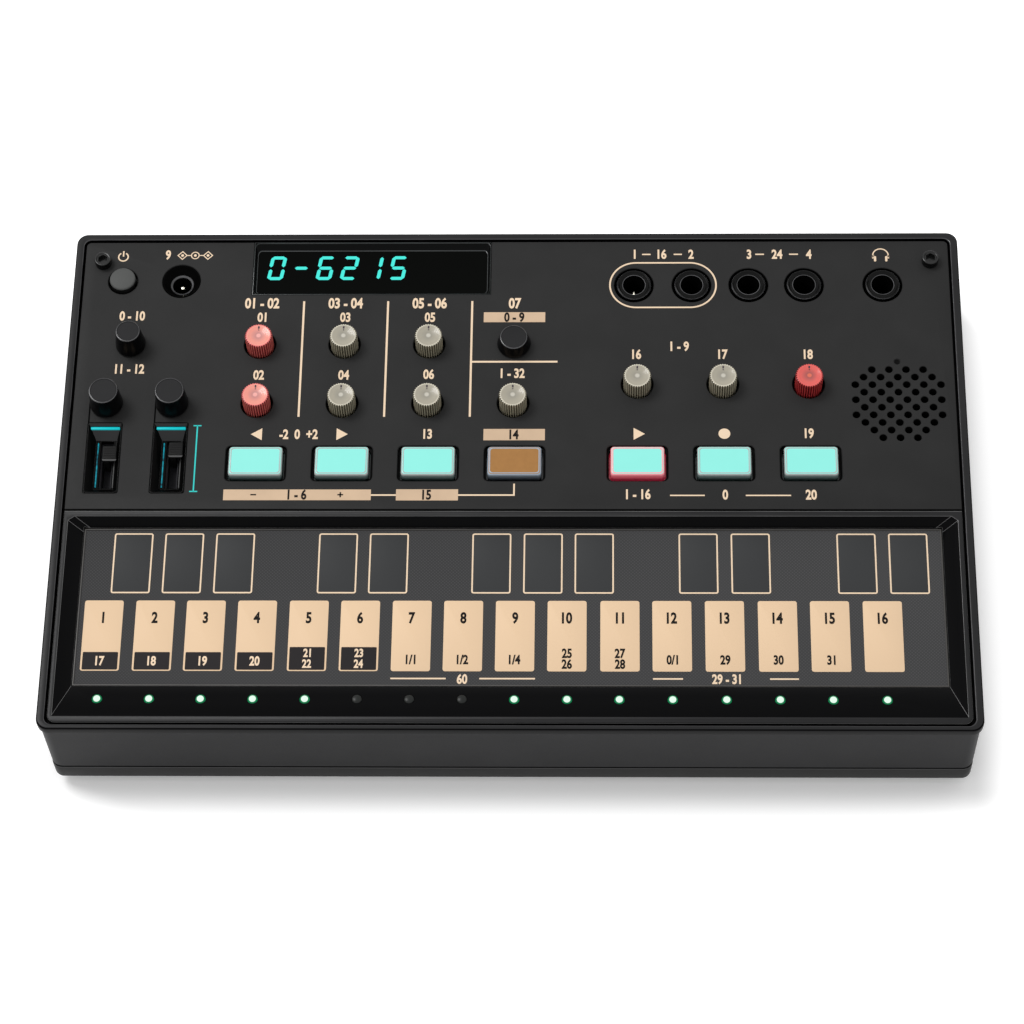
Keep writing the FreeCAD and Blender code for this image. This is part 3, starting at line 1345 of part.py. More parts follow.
def make_battery_cover():
    piece = body("battery_cover")
    edge_x = "(%s + cover_margin)" % bay_x
    rear = "(cover_margin - %s)" % bay_rear
    face = sketch(piece, "cover_outline", "foot_height")
    trimmed(face, "-" + edge_x, "-(%s + cover_margin)" % bay_front, edge_x, rear, "cover_corner")
    pad(piece, face, "cover", "cover_thickness")
    face = sketch(piece, "tab_outlines", "%s - tab_thickness" % cover_top)
    for side in signs:
        for y in tab_rows():
            rectangle(face, "%s(%s - cover_margin)" % (side, edge_x), "%s - tab_length / 2" % y,
                      "%s(%s + tab_reach)" % (side, edge_x), "%s + tab_length / 2" % y)
    pad(piece, face, "tabs", "tab_thickness")
    face = sketch(piece, "ridge_outline", "foot_height")
    last = "(%s - ridge_setback - (ridge_count - 1) * ridge_pitch)" % rear
    rectangle(face, "-ridge_length / 2", "%s - ridge_width / 2" % last, "ridge_length / 2",
              "%s + ridge_width / 2" % last)
    groove = pocket(piece, face, "ridge", "ridge_depth", upward=True)
    row_of(piece, groove, "ridges", "ridge_count", "(ridge_count - 1) * ridge_pitch")


def make_fasteners():
    foot = "(%s - head_height)" % head_seat
    screws = []
    for index, (x, y) in enumerate(towers, start=1):
        name = "case_screw_%d" % index
        head = prism(name + "_head", x, y, foot, "head_radius", "head_height", "small_sides")
        shank = prism(name + "_shank", x, y, head_seat, "screw_radius", "screw_length", "small_sides")
        socket = prism(name + "_socket", x, y, foot, "hex_radius", "hex_depth", "small_sides")
        screws.append(cut(name, fused(name + "_blank", [head, shank]), socket))
    group("case_screws", screws)
    foot = "(%s - collar_length)" % panel_top
    socket_foot = "(%s + collar_height - hex_depth)" % panel_top
    screws = []
    for side, label in zip(signs, ("left", "right")):
        name = "corner_screw_" + label
        x = side + tower_x
        collar = prism(name + "_collar", x, tower_y, panel_top, "collar_radius", "collar_height")
        shank = prism(name + "_shank", x, tower_y, foot, "screw_radius", "collar_length", "small_sides")
        socket = prism(name + "_socket", x, tower_y, socket_foot, "hex_radius", "hex_depth", "small_sides")
        screws.append(cut(name, fused(name + "_blank", [collar, shank]), socket))
    group("corner_screws", screws)


def make_feet():
    pads = [prism("foot_%d" % index, x, y, "0", "foot_radius", "foot_height")
            for index, (x, y) in enumerate(feet, start=1)]
    group("rubber_feet", pads)


def make_all():
    make_lower_case()
    make_upper_case()
    make_top_panel()
    make_keyboard_bezel()
    make_touch_plate()
    make_touch_sensor_board()
    make_step_leds()
    for name, (x, y) in ribbed_knobs.items():
        make_ribbed_knob(name, x, y)
    for name, (x, y, kind) in smooth_knobs.items():
        make_smooth_knob(name, x, y, kind)
    make_potentiometers()
    make_all_buttons()
    make_switches()
    for side, (x, lever_y) in sliders.items():
        make_slider_well(side, x)
        make_slider(side, x, lever_y)
    make_slider_lights()
    make_slide_potentiometers()
    for name, x in sockets.items():
        make_socket(name, x)
    make_dc_jack()
    make_display_window()
    make_display_module()
    make_speaker()
    make_main_board()
    make_board_header()
    make_batteries()
    make_battery_cover()
    make_fasteners()
    make_feet()
    document.recompute()


def check_all():
    for thing in document.Objects:
        if "Invalid" in thing.State or "Error" in thing.State:
            raise RuntimeError("%s did not rebuild" % thing.Name)
    for piece in pieces:
        if piece.Shape.isNull() or not piece.Shape.isValid() or not piece.Shape.Solids:
            raise RuntimeError("%s has no sound solid" % piece.Label)


def write_all():
    os.makedirs("parts", exist_ok=True)
    for piece in pieces:
        piece.Shape.exportStep("parts/%s.step" % piece.Label)
        print("%-24s %2d solids %10.2f mm3" % (piece.Label, len(piece.Shape.Solids), piece.Shape.Volume))


make_all()
check_all()
write_all()
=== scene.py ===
import bpy
import math
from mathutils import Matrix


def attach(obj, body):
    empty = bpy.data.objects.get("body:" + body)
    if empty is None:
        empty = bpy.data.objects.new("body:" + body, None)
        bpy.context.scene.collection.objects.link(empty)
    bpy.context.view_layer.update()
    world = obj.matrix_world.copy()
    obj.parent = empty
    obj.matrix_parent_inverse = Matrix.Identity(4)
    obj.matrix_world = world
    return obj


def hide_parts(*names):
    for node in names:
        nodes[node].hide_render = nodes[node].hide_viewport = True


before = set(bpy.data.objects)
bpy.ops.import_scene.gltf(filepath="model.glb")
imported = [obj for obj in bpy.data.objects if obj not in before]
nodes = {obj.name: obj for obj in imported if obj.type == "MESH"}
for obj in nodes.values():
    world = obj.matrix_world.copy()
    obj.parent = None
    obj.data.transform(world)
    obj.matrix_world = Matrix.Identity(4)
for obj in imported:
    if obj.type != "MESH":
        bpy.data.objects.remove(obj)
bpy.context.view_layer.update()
mm = 0.001
# How far printed marks reach under their surface and above it
inkSink = 0.02
inkRise = 0.03
fourWays = [(-1, -1), (-1, 1), (1, -1), (1, 1)]


# Small tools for modelling; every size they take is in millimetres

def selectOnly(*pieces):
    bpy.ops.object.select_all(action="DESELECT")
    for piece in pieces:
        piece.select_set(True)
    bpy.context.view_layer.objects.active = pieces[0]


def leaveEdit():
    bpy.ops.object.mode_set(mode="OBJECT")


def editAll(piece):
    selectOnly(piece)
    bpy.ops.object.mode_set(mode="EDIT")
    bpy.ops.mesh.select_all(action="SELECT")


def settle():
    # Applies the place, turn and scale of what is selected
    bpy.ops.object.transform_apply(location=True, rotation=True, scale=True)


def extrudeUp(distance):
    bpy.ops.mesh.extrude_region_move(TRANSFORM_OT_translate={"value": (0, 0, distance * mm)})


def faceOutward():
    # Turns all faces of the open piece outward and leaves it
    bpy.ops.mesh.select_all(action="SELECT")
    bpy.ops.mesh.normals_make_consistent(inside=False)
    leaveEdit()


def facesUp(spot, normal):
    return normal.z > 0.9


def upright(first, second):
    return abs(first.x - second.x) < 0.1 and abs(first.y - second.y) < 0.1


def pick(piece, wanted, kind="FACE"):
    # Opens edit mode with only the wanted faces, edges or corners selected
    selectOnly(piece)
    bpy.ops.object.mode_set(mode="EDIT")
    bpy.ops.mesh.select_mode(type=kind)
    bpy.ops.mesh.select_all(action="DESELECT")
    leaveEdit()
    mesh = piece.data
    if kind == "FACE":
        for face in mesh.polygons:
            face.select = bool(wanted(face.center / mm, face.normal))
    elif kind == "EDGE":
        for edge in mesh.edges:
            first, second = (mesh.vertices[corner].co / mm for corner in edge.vertices)
            edge.select = bool(wanted(first, second))
    else:
        for corner in mesh.vertices:
            corner.select = bool(wanted(corner.co / mm))
    bpy.ops.object.mode_set(mode="EDIT")


def bevelled(piece, wanted, width, segments, kind="EDGE"):
    pick(piece, wanted, kind)
    bpy.ops.mesh.bevel(offset=width * mm, segments=segments)
    leaveEdit()


def raiseTop(piece):
    # Carries the top face of a cutter on, so that it reaches clear of what it cuts
    pick(piece, facesUp)
    extrudeUp(1)
    leaveEdit()


def modify(piece, kind, **settings):
    selectOnly(piece)
    change = piece.modifiers.new(kind.title(), kind)
    for setting, value in settings.items():
        setattr(change, setting, value)
    bpy.ops.object.modifier_apply(modifier=change.name)


def joined(name, pieces):
    selectOnly(*pieces)
    if len(pieces) > 1:
        bpy.ops.object.join()
    piece = bpy.context.object
    piece.name = name
    piece.data.name = name
    return piece


def combine(piece, others, operation="DIFFERENCE"):
    tool = joined("tool", others)
    modify(piece, "BOOLEAN", operation=operation, solver="EXACT", object=tool)
    bpy.data.meshes.remove(tool.data)
    return piece


def tidyMesh(piece, angle=32):
    # Closed, outward-facing and smooth except at its edges
    editAll(piece)
    bpy.ops.mesh.remove_doubles(threshold=1e-6)
    faceOutward()
    bpy.ops.object.shade_smooth_by_angle(angle=math.radians(angle))
    return piece


def box(name, left, front, low, right, rear, high):
    middle = ((left + right) / 2 * mm, (front + rear) / 2 * mm, (low + high) / 2 * mm)
    bpy.ops.mesh.primitive_cube_add(size=mm, location=middle)
    piece = bpy.context.object
    piece.name = name
    piece.scale = (right - left, rear - front, high - low)
    settle()
    return piece


def wedge(name, lower, low, upper, high):
    # A block whose foot and top are two rectangles, each left, front, right and rear
    left, front, right, rear = lower
    upLeft, upFront, upRight, upRear = upper
    piece = box(name, left, front, low, right, rear, high)
    pick(piece, facesUp)
    growth = ((upRight - upLeft) / (right - left), (upRear - upFront) / (rear - front), 1)
    middle = ((left + right) / 2 * mm, (front + rear) / 2 * mm, high * mm)
    bpy.ops.transform.resize(value=growth, center_override=middle)
    shift = ((upLeft + upRight - left - right) / 2 * mm, (upFront + upRear - front - rear) / 2 * mm, 0)
    bpy.ops.transform.translate(value=shift)
    leaveEdit()
    return piece


def softened(piece, width, segments=2, angle=25, looks=(), edgeLook=-1, clamp=True):
    # Rounds the sharp edges; with looks, the rounded strips take the material of that number
    for look in looks:
        piece.data.materials.append(look)
    modify(piece, "BEVEL", width=width * mm, segments=segments, limit_method="ANGLE",
           angle_limit=math.radians(angle), material=edgeLook, use_clamp_overlap=clamp)
    return piece


def drawUp(name, x, y, width, depth, levels, corner=None, sides=48, bend=6):
    # Draws a closed outline up through levels, each its growth beyond the outline and its height
    # The outline is round, or with a corner radius a rectangle
    grow, height = levels[0]
    spot = (x * mm, y * mm, height * mm)
    if corner is None:
        bpy.ops.mesh.primitive_circle_add(vertices=sides, radius=mm / 2, fill_type="NGON", location=spot)
    else:
        bpy.ops.mesh.primitive_plane_add(size=mm, location=spot)
    piece = bpy.context.object
    piece.name = name
    piece.scale = (width + 2 * grow, depth + 2 * grow, 1)
    settle()
    editAll(piece)
    if corner:
        bpy.ops.mesh.bevel(offset=corner * mm, offset_type="OFFSET", segments=bend, affect="VERTICES")
        bpy.ops.mesh.select_all(action="SELECT")
    for nextGrow, nextHeight in levels[1:]:
        extrudeUp(nextHeight - height)
        wide, deep = width + 2 * nextGrow, depth + 2 * nextGrow
        factors = (wide / (width + 2 * grow), deep / (depth + 2 * grow), 1)
        bpy.ops.transform.resize(value=factors, center_override=(spot[0], spot[1], nextHeight * mm))
        grow, height = nextGrow, nextHeight
    leaveEdit()
    editAll(piece)
    faceOutward()
    return piece


def turned(name, x, y, rings, sides=48):
    # A round piece from its rings, each a radius and a height
    first = rings[0][0]
    levels = [(radius - first, height) for radius, height in rings]
    return drawUp(name, x, y, 2 * first, 2 * first, levels, sides=sides)


def roundOver(radius, edge, top, steps=4, inward=True):
    # Levels that round an edge off: from upright at edge to level at top
    sign = -1 if inward else 1
    levels = []
    for step in range(steps + 1):
        turn = math.pi / 2 * step / steps
        levels.append((edge + sign * radius * (1 - math.cos(turn)), top - radius * (1 - math.sin(turn))))
    return levels


def inkLevels(surface):
    return [(0, surface - inkSink), (0, surface + inkRise)]


def copyAt(piece, name, across, back, up=0):
    twin = piece.copy()
    twin.data = piece.data.copy()
    twin.name = name
    twin.data.name = name
    bpy.context.scene.collection.objects.link(twin)
    twin.location = (across * mm, back * mm, up * mm)
    selectOnly(twin)
    settle()
    return twin


def paint(piece, materials, choose, kept=None):
    # Gives each face the material whose number choose returns for its middle and its direction
    for material in materials[len(piece.data.materials):]:
        piece.data.materials.append(material)
    for face in piece.data.polygons:
        if face.material_index != kept:
            face.material_index = int(choose(face.center / mm, face.normal))
    return materials


def finishPiece(piece, body, materials, replaced=()):
    if not isinstance(materials, (list, tuple)):
        materials = [materials]
    selectOnly(piece)
    settle()
    if len(materials) != len(piece.data.materials):
        piece.data.materials.clear()
        for material in materials:
            piece.data.materials.append(material)
    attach(piece, body)
    if replaced:
        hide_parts(*replaced)
    return piece


def finishGroup(name, parts, look, replaced=()):
    # Joins parts of the case that share one look, and finishes them as one piece
    finishPiece(tidyMesh(joined(name, parts)), "case", look, replaced)


# Materials: colours are written as they look on screen, from 0 to 255

def screen(red, green, blue):
    def linear(value):
        value /= 255
        return value / 12.92 if value <= 0.04045 else ((value + 0.055) / 1.055) ** 2.4
    return (linear(red), linear(green), linear(blue), 1)


def startMaterial(name):
    material = bpy.data.materials.new(name)
    material.use_nodes = True
    shader = material.node_tree.nodes["Principled BSDF"]
    return material, material.node_tree, shader


def node(tree, kind, **settings):
    made = tree.nodes.new("ShaderNode" + kind)
    for setting, value in settings.items():
        if hasattr(made, setting):
            setattr(made, setting, value)
        else:
            made.inputs[setting.replace("_", " ")].default_value = value
    return made


def objectPlace(tree):
    return node(tree, "TexCoord").outputs["Object"]


def objectNoise(tree, size, detail=2):
    # Noise whose lumps are about this many millimetres across
    noise = node(tree, "TexNoise", Scale=1 / (size * mm), Detail=detail)
    tree.links.new(objectPlace(tree), noise.inputs["Vector"])
    return noise.outputs["Fac"]


def mapped(tree, source, low, high, bottom=0, top=1, bend="LINEAR"):
    # What lies between low and high, laid out between bottom and top
    level = node(tree, "MapRange", interpolation_type=bend, From_Min=low, From_Max=high, To_Min=bottom,
                 To_Max=top)
    tree.links.new(source, level.inputs["Value"])
    return level.outputs["Result"]


def tonesAlong(tree, source, stops):
    # Colours laid along a value, each stop a place from 0 to 1 and its colour
    tones = node(tree, "ValToRGB")
    marks = tones.color_ramp.elements
    for index, (spot, colour) in enumerate(stops):
        mark = marks[index] if index < 2 else marks.new(spot)
        mark.position = spot
        mark.color = colour
    tree.links.new(source, tones.inputs["Fac"])
    return tones.outputs["Color"]


def ramp(tree, source, low, high, stops):
    # Colours as they look on screen, laid along a distance in millimetres
    level = mapped(tree, source, low * mm, high * mm)
    return tonesAlong(tree, level, [(spot, screen(*colour)) for spot, colour in stops])


def mixed(tree, first, second, share, kind="MIX"):
    blend = node(tree, "Mix", data_type="RGBA", blend_type=kind)
    for value, socket in ((share, blend.inputs[0]), (first, blend.inputs[6]), (second, blend.inputs[7])):
        if isinstance(value, (int, float, tuple)):
            socket.default_value = value
        else:
            tree.links.new(value, socket)
    return blend.outputs[2]


# The noise stays between these two values nearly everywhere
noiseReach = (0.3, 0.7)


def moulded(name, colour, roughness, mottle=0.08, grain=0.12, depth=0.006, specular=0.12, coat=0.0, spread=9):
    # Moulded plastic: colour that drifts a little, uneven gloss and a fine grain
    material, tree, shader = startMaterial(name)
    low, high = noiseReach
    base = screen(*colour)[:3]
    stops = [(low, [part * (1 - mottle) for part in base] + [1]),
             (high, [part * (1 + mottle) for part in base] + [1])]
    tree.links.new(tonesAlong(tree, objectNoise(tree, spread), stops), shader.inputs["Base Color"])
    speckle = objectNoise(tree, grain)
    gloss = mapped(tree, speckle, low, high, roughness * 0.9, min(1, roughness * 1.1))
    tree.links.new(gloss, shader.inputs["Roughness"])
    relief = node(tree, "Bump", Strength=0.5, Distance=depth * mm)
    tree.links.new(speckle, relief.inputs["Height"])
    tree.links.new(relief.outputs["Normal"], shader.inputs["Normal"])
    shader.inputs["Specular IOR Level"].default_value = specular
    shader.inputs["Coat Weight"].default_value = coat
    shader.inputs["Coat Roughness"].default_value = 0.1
    return material


def partsOf(material):
    tree = material.node_tree
    return tree, tree.nodes["Principled BSDF"], tree.nodes["Color Ramp"].outputs["Color"]


def lit(name, colour, share, roughness=0.35, uneven=0.04, spread=2.5):
    # Translucent plastic lit from behind: this share of its colour is its own light
    dim = [part * (1 - share) ** 0.45 for part in colour]
    material = moulded(name, dim, roughness, mottle=uneven, spread=spread, depth=0.002)
    shader = material.node_tree.nodes["Principled BSDF"]
    shader.inputs["Emission Color"].default_value = screen(*colour)
    shader.inputs["Emission Strength"].default_value = share
    return material


def glowLine(name, bright, dark, size):
    # A thin light guide that is brighter at some places than at others
    material = moulded(name, dark, 0.4, depth=0.002)
    tree, shader, _ = partsOf(material)
    patches = objectNoise(tree, size, detail=3)
    glow = tonesAlong(tree, patches, [(0.36, screen(*dark)), (0.56, screen(*bright))])
    tree.links.new(glow, shader.inputs["Emission Color"])
    shader.inputs["Emission Strength"].default_value = 0.9
    return material


def metal(name, colour, roughness):
    material = moulded(name, colour, roughness, mottle=0.05, grain=0.3, depth=0.002, specular=0.5)
    material.node_tree.nodes["Principled BSDF"].inputs["Metallic"].default_value = 1
    return material


def weather(tree, shader, colour, tones, share):
    # Lets the plastic's own drift show through a colour; a share of 1 hides it
    worn = mixed(tree, tones, (1, 1, 1, 1), share)
    tree.links.new(mixed(tree, colour, worn, 1.0, "MULTIPLY"), shader.inputs["Base Color"])


def woven(name, colour, pitch, contrast):
    # Smooth plastic over a fine diagonal weave
    material = moulded(name, colour, 0.42, mottle=0.03, spread=30, specular=0.1)
    tree, shader, tones = partsOf(material)
    place = objectPlace(tree)
    strands = []
    for angle in (45, -45):
        turn = node(tree, "Mapping")
        turn.inputs["Rotation"].default_value = (0, 0, math.radians(angle))
        wave = node(tree, "TexWave", Scale=0.314 / (pitch * mm))
        tree.links.new(place, turn.inputs["Vector"])
        tree.links.new(turn.outputs["Vector"], wave.inputs["Vector"])
        strands.append(wave.outputs["Fac"])
    crossing = node(tree, "Math", operation="MULTIPLY")
    tree.links.new(strands[0], crossing.inputs[0])
    tree.links.new(strands[1], crossing.inputs[1])
    shade = mapped(tree, crossing.outputs[0], 0, 1, 1 - contrast, 1)
    tree.links.new(mixed(tree, tones, shade, 1.0, "MULTIPLY"), shader.inputs["Base Color"])
    return material


def etched(name, colour, trace, size):
    # Circuit board lacquer with paler traces under it
    material = moulded(name, colour, 0.35, spread=6, specular=0.4)
    tree, shader, tones = partsOf(material)
    cells = node(tree, "TexVoronoi", feature="DISTANCE_TO_EDGE", distance="CHEBYCHEV", Scale=1 / (size * mm))
    tree.links.new(objectPlace(tree), cells.inputs["Vector"])
    edge = node(tree, "Math", operation="LESS_THAN")
    edge.inputs[1].default_value = 0.06
    tree.links.new(cells.outputs["Distance"], edge.inputs[0])
    tree.links.new(mixed(tree, tones, screen(*trace), edge.outputs[0]), shader.inputs["Base Color"])
    return material


finishes = {
    "case": moulded("caseBlack", (37, 37, 38), 0.45, grain=0.16, depth=0.008, specular=0.06),
    "caseLow": moulded("caseLow", (44, 44, 44), 0.42, grain=0.16, depth=0.008, specular=0.08),
    "rim": moulded("rimBlack", (3, 3, 4), 0.2, grain=0.4, depth=0.002, specular=0.04, mottle=0.05),
    # Painted sheen: the flat tops of the black rim and bezel are painted grey, as if lit from above
    "ledgeTop": moulded("ledgeTop", (33, 33, 34), 0.33, grain=0.4, depth=0.002, specular=0.15, mottle=0.2,
                        spread=30),
    # Painted highlight: a pale colour on the rim's rounded inner edges, for the light they catch
    "rimHighlight": moulded("rimHighlight", (52, 52, 54), 0.2, grain=0.4, depth=0.002, specular=0.5,
                       mottle=0.25, spread=14),
    # Painted highlight: a pale line on the rounded top edge of the lower tray
    "seamHighlight": moulded("seamHighlight", (52, 52, 53), 0.3, grain=0.3, depth=0.002, specular=0.3,
                        mottle=0.15, spread=14),
    "panel": moulded("panelCharcoal", (38, 38, 38), 0.55, grain=0.2, depth=0.014, specular=0.14),
    # Painted shade: near black for hole walls and recess floors in the panel, and for the gap at the seam
    "recess": moulded("recessShade", (10, 10, 10), 0.5, depth=0.004, specular=0.05),
    "bezel": moulded("bezelBlack", (3, 3, 4), 0.19, grain=0.3, depth=0.002, specular=0.05),
    # Painted highlight: a pale colour on the bezel's bevelled edges and mitres
    "bezelHighlight": moulded("bezelHighlight", (92, 92, 92), 0.2, grain=0.3, depth=0.002, specular=0.5,
                         mottle=0.3, spread=16),
    "socket": moulded("socketBlack", (5, 5, 5), 0.22, grain=0.3, depth=0.002, specular=0.12),
    # Painted highlight: pale rings on the jack collars and round the inlet's bore
    "socketHighlight": moulded("socketHighlight", (66, 66, 68), 0.2, grain=0.3, depth=0.001, specular=0.5,
                          mottle=0.5, spread=2.5),
    "mouth": moulded("mouthBlack", (3, 3, 3), 0.5, depth=0.002, specular=0.02),
    "inlet": moulded("inletBlack", (2, 2, 2), 0.4, depth=0.003, specular=0.02),
    "knobBlack": moulded("knobBlack", (4, 4, 5), 0.3, depth=0.003, specular=0.12),
    # Painted highlight: a pale ring along the top edge of the smooth knobs
    "knobHighlight": moulded("knobHighlight", (66, 66, 68), 0.25, depth=0.002, specular=0.5, mottle=0.3, spread=3),
    "knobTop": moulded("knobTopGrey", (37, 37, 38), 0.5, depth=0.006, specular=0.1),
    "collar": moulded("collarBlack", (7, 7, 7), 0.22, depth=0.003, specular=0.4),
    "steel": metal("screwSteel", (150, 150, 148), 0.3),
    "brightPin": metal("brightPin", (235, 230, 215), 0.2),
    "rubber": moulded("footRubber", (26, 26, 26), 0.8, grain=0.3, depth=0.02),
    "well": moulded("wellBlack", (3, 3, 3), 0.4, depth=0.002, specular=0.04),
    # Painted highlight: a pale colour on the well's bevelled edges
    "wellHighlight": moulded("wellHighlight", (72, 72, 72), 0.3, depth=0.002, specular=0.4, mottle=0.2),
    # Painted light: the well's rear slope, facing the front, is painted paler than the black well
    "wellSlopeSheen": moulded("wellSlopeSheen", (36, 37, 38), 0.4, depth=0.003, specular=0.2),
    "rail": moulded("railGrey", (56, 56, 56), 0.4, depth=0.003, specular=0.3),
    "lever": moulded("leverBlack", (24, 24, 24), 0.5, depth=0.01, grain=0.25, specular=0.1),
    # Painted highlight: a paler colour on the top of the lever's front step
    "leverHighlight": moulded("leverHighlight", (70, 70, 70), 0.4, depth=0.004, specular=0.3),
    "powerCap": moulded("powerGrey", (81, 82, 81), 0.5, depth=0.008),
    "powerSide": moulded("powerSide", (20, 20, 20), 0.4, depth=0.004),
    "glass": moulded("windowBlack", (5, 6, 5), 0.1, mottle=0.03, grain=2, depth=0.0005, specular=0.03),
    "windowEdge": moulded("windowEdge", (6, 7, 7), 0.22, grain=0.5, depth=0.001, specular=0.06),
    # Painted highlight: a pale colour on the bevelled edges of the display window
    "windowHighlight": moulded("windowHighlight", (54, 58, 58), 0.2, grain=0.5, depth=0.001, specular=0.4,
                          mottle=0.3, spread=12),
    "print": moulded("printTan", (240, 214, 184), 0.55, mottle=0.03, grain=0.08, depth=0.004),
    "printBar": moulded("printBar", (210, 182, 153), 0.55, mottle=0.05, grain=0.08, depth=0.004, spread=5),
    "printDark": moulded("printDark", (20, 17, 15), 0.6, mottle=0.05, grain=0.08, depth=0.004),
    "boxDark": moulded("boxDark", (34, 31, 32), 0.5, mottle=0.08, grain=0.08, depth=0.004),
    "keyTan": moulded("keyTan", (233, 202, 167), 0.5, mottle=0.02, grain=0.1, depth=0.004, spread=20),
    "keyDark": moulded("keyDark", (60, 61, 62), 0.5, mottle=0.04, grain=0.1, depth=0.003, spread=20,
                       specular=0.08),
    "plate": woven("touchWeave", (76, 76, 77), 0.5, 0.42),
    "plateEdge": moulded("plateEdge", (66, 64, 62), 0.35, mottle=0.15, depth=0.002, specular=0.3),
    # Painted glow: the teal printed ink is given light of its own
    "teal": lit("printTealGlow", (56, 205, 200), 0.4),
    "tealBar": lit("tealBar", (22, 204, 212), 0.5),
    "tealLine": glowLine("tealLine", (20, 150, 168), (6, 44, 56), 1.2),
    "digits": lit("digitTeal", (72, 238, 224), 0.95),
    "board": etched("boardGreen", (20, 58, 40), (38, 92, 60), 2.4),
    "component": moulded("componentGrey", (46, 46, 50), 0.5, mottle=0.15, spread=3),
    "cell": moulded("cellSleeve", (120, 124, 130), 0.3, mottle=0.05, spread=14, specular=0.4),
    "cellEnd": metal("cellSteel", (190, 190, 188), 0.28),
    "contact": metal("contactPlate", (200, 196, 184), 0.3),
    "speaker": moulded("speakerBlack", (5, 5, 5), 0.8, grain=0.3, depth=0.02, specular=0.04),
}


# Case

caseSizes = {
    "width": 193.0, "depth": 119.0, "corner": 2.4, "top": 28.6, "bandFoot": 26.5, "wallFoot": 8.8,
    "stepBack": 0.4, "edge": 0.4, "openLeft": 94.8, "openFront": 58.4, "openRear": 57.95, "openCorner": 1.6,
    "ledge": 1.9, "ledgeTop": 26.3, "ledgeFoot": 24.8, "innerGap": 0.3,
    "trayFoot": 2.2, "trayTop": 8.0, "trayFloor": 4.6, "wall": 1.6, "footRound": 1.5,
    "trayEdge": 0.14,
}


def buildCase(sizes):
    width, depth, top = sizes["width"], sizes["depth"], sizes["top"]
    back = -sizes["stepBack"]
    levels = [(back, sizes["wallFoot"]), (back, sizes["bandFoot"]), (0, sizes["bandFoot"])]
    levels += roundOver(sizes["edge"], 0, top)
    upper = drawUp("upperShell", 0, 0, width, depth, levels, corner=sizes["corner"], bend=8)
    openDepth = sizes["openRear"] + sizes["openFront"]
    openMiddle = (sizes["openRear"] - sizes["openFront"]) / 2
    gap, ledge = -sizes["innerGap"], -sizes["ledge"]
    levels = [(gap, sizes["wallFoot"] - 1), (gap, sizes["ledgeFoot"]), (ledge, sizes["ledgeFoot"]),
              (ledge, sizes["ledgeTop"]), (0, sizes["ledgeTop"])]
    levels += roundOver(sizes["edge"] * 0.7, 0, top, inward=False)
    levels.append((levels[-1][0], top + 1))
    opening = drawUp("opening", 0, openMiddle, 2 * sizes["openLeft"], openDepth, levels,
                     corner=sizes["openCorner"])
    combine(upper, [opening])

    def rimLook(spot, normal):
        inside = (abs(spot.x) < sizes["openLeft"] + 0.1
                  and -sizes["openFront"] - 0.1 < spot.y < sizes["openRear"])
        inward = spot.x * normal.x + spot.y * normal.y < 0
        # Flat top of the rim: painted sheen
        if spot.z > top - 0.05 and normal.z > 0.93:
            return 3
        # Rounded inner edges of the rim: painted highlight
        if spot.z > sizes["bandFoot"] and 0.35 < normal.z < 0.93 and inward:
            return 2
        return spot.z > sizes["bandFoot"] - 0.05 or inside

    looks = [finishes["case"], finishes["rim"], finishes["rimHighlight"], finishes["ledgeTop"]]
    paint(tidyMesh(upper), looks, rimLook)
    finishPiece(upper, "case", looks, ["upper_case"])

    outerWidth = width + 2 * back
    outerDepth = depth + 2 * back
    low, high = sizes["trayFoot"], sizes["trayTop"]
    levels = []
    bow = sizes["footRound"]
    for step in range(7):
        turn = math.pi / 2 * step / 6
        levels.append((-bow * (1 - math.sin(turn)), low + bow * (1 - math.cos(turn))))
    levels += roundOver(sizes["trayEdge"], 0, high, steps=2)
    lower = drawUp("lowerShell", 0, 0, outerWidth, outerDepth, levels, corner=2, bend=8)
    insideX = outerWidth / 2 - sizes["wall"]
    insideY = outerDepth / 2 - sizes["wall"]
    hollow = box("hollow", -insideX, -insideY, sizes["trayFloor"], insideX, insideY, high + 1)
    combine(lower, [hollow])
    return lower


baySizes = {
    "x": 53.65, "front": 55.0, "rear": 10.8, "wall": 1.2, "roof": 20.2, "seatMargin": 1.55, "seatDepth": 1.5,
    "travel": 5.0, "corner": 1.2, "tabReach": 1.1, "tabLength": 4.3, "tabSpread": 15.0, "tabRunTop": 3.7,
    "tabRunFoot": 2.85, "towerX": 90.3, "towerY": 52.2, "boreRadius": 2.7, "boreDepth": 3.0,
    "boreEdge": 0.15,
}


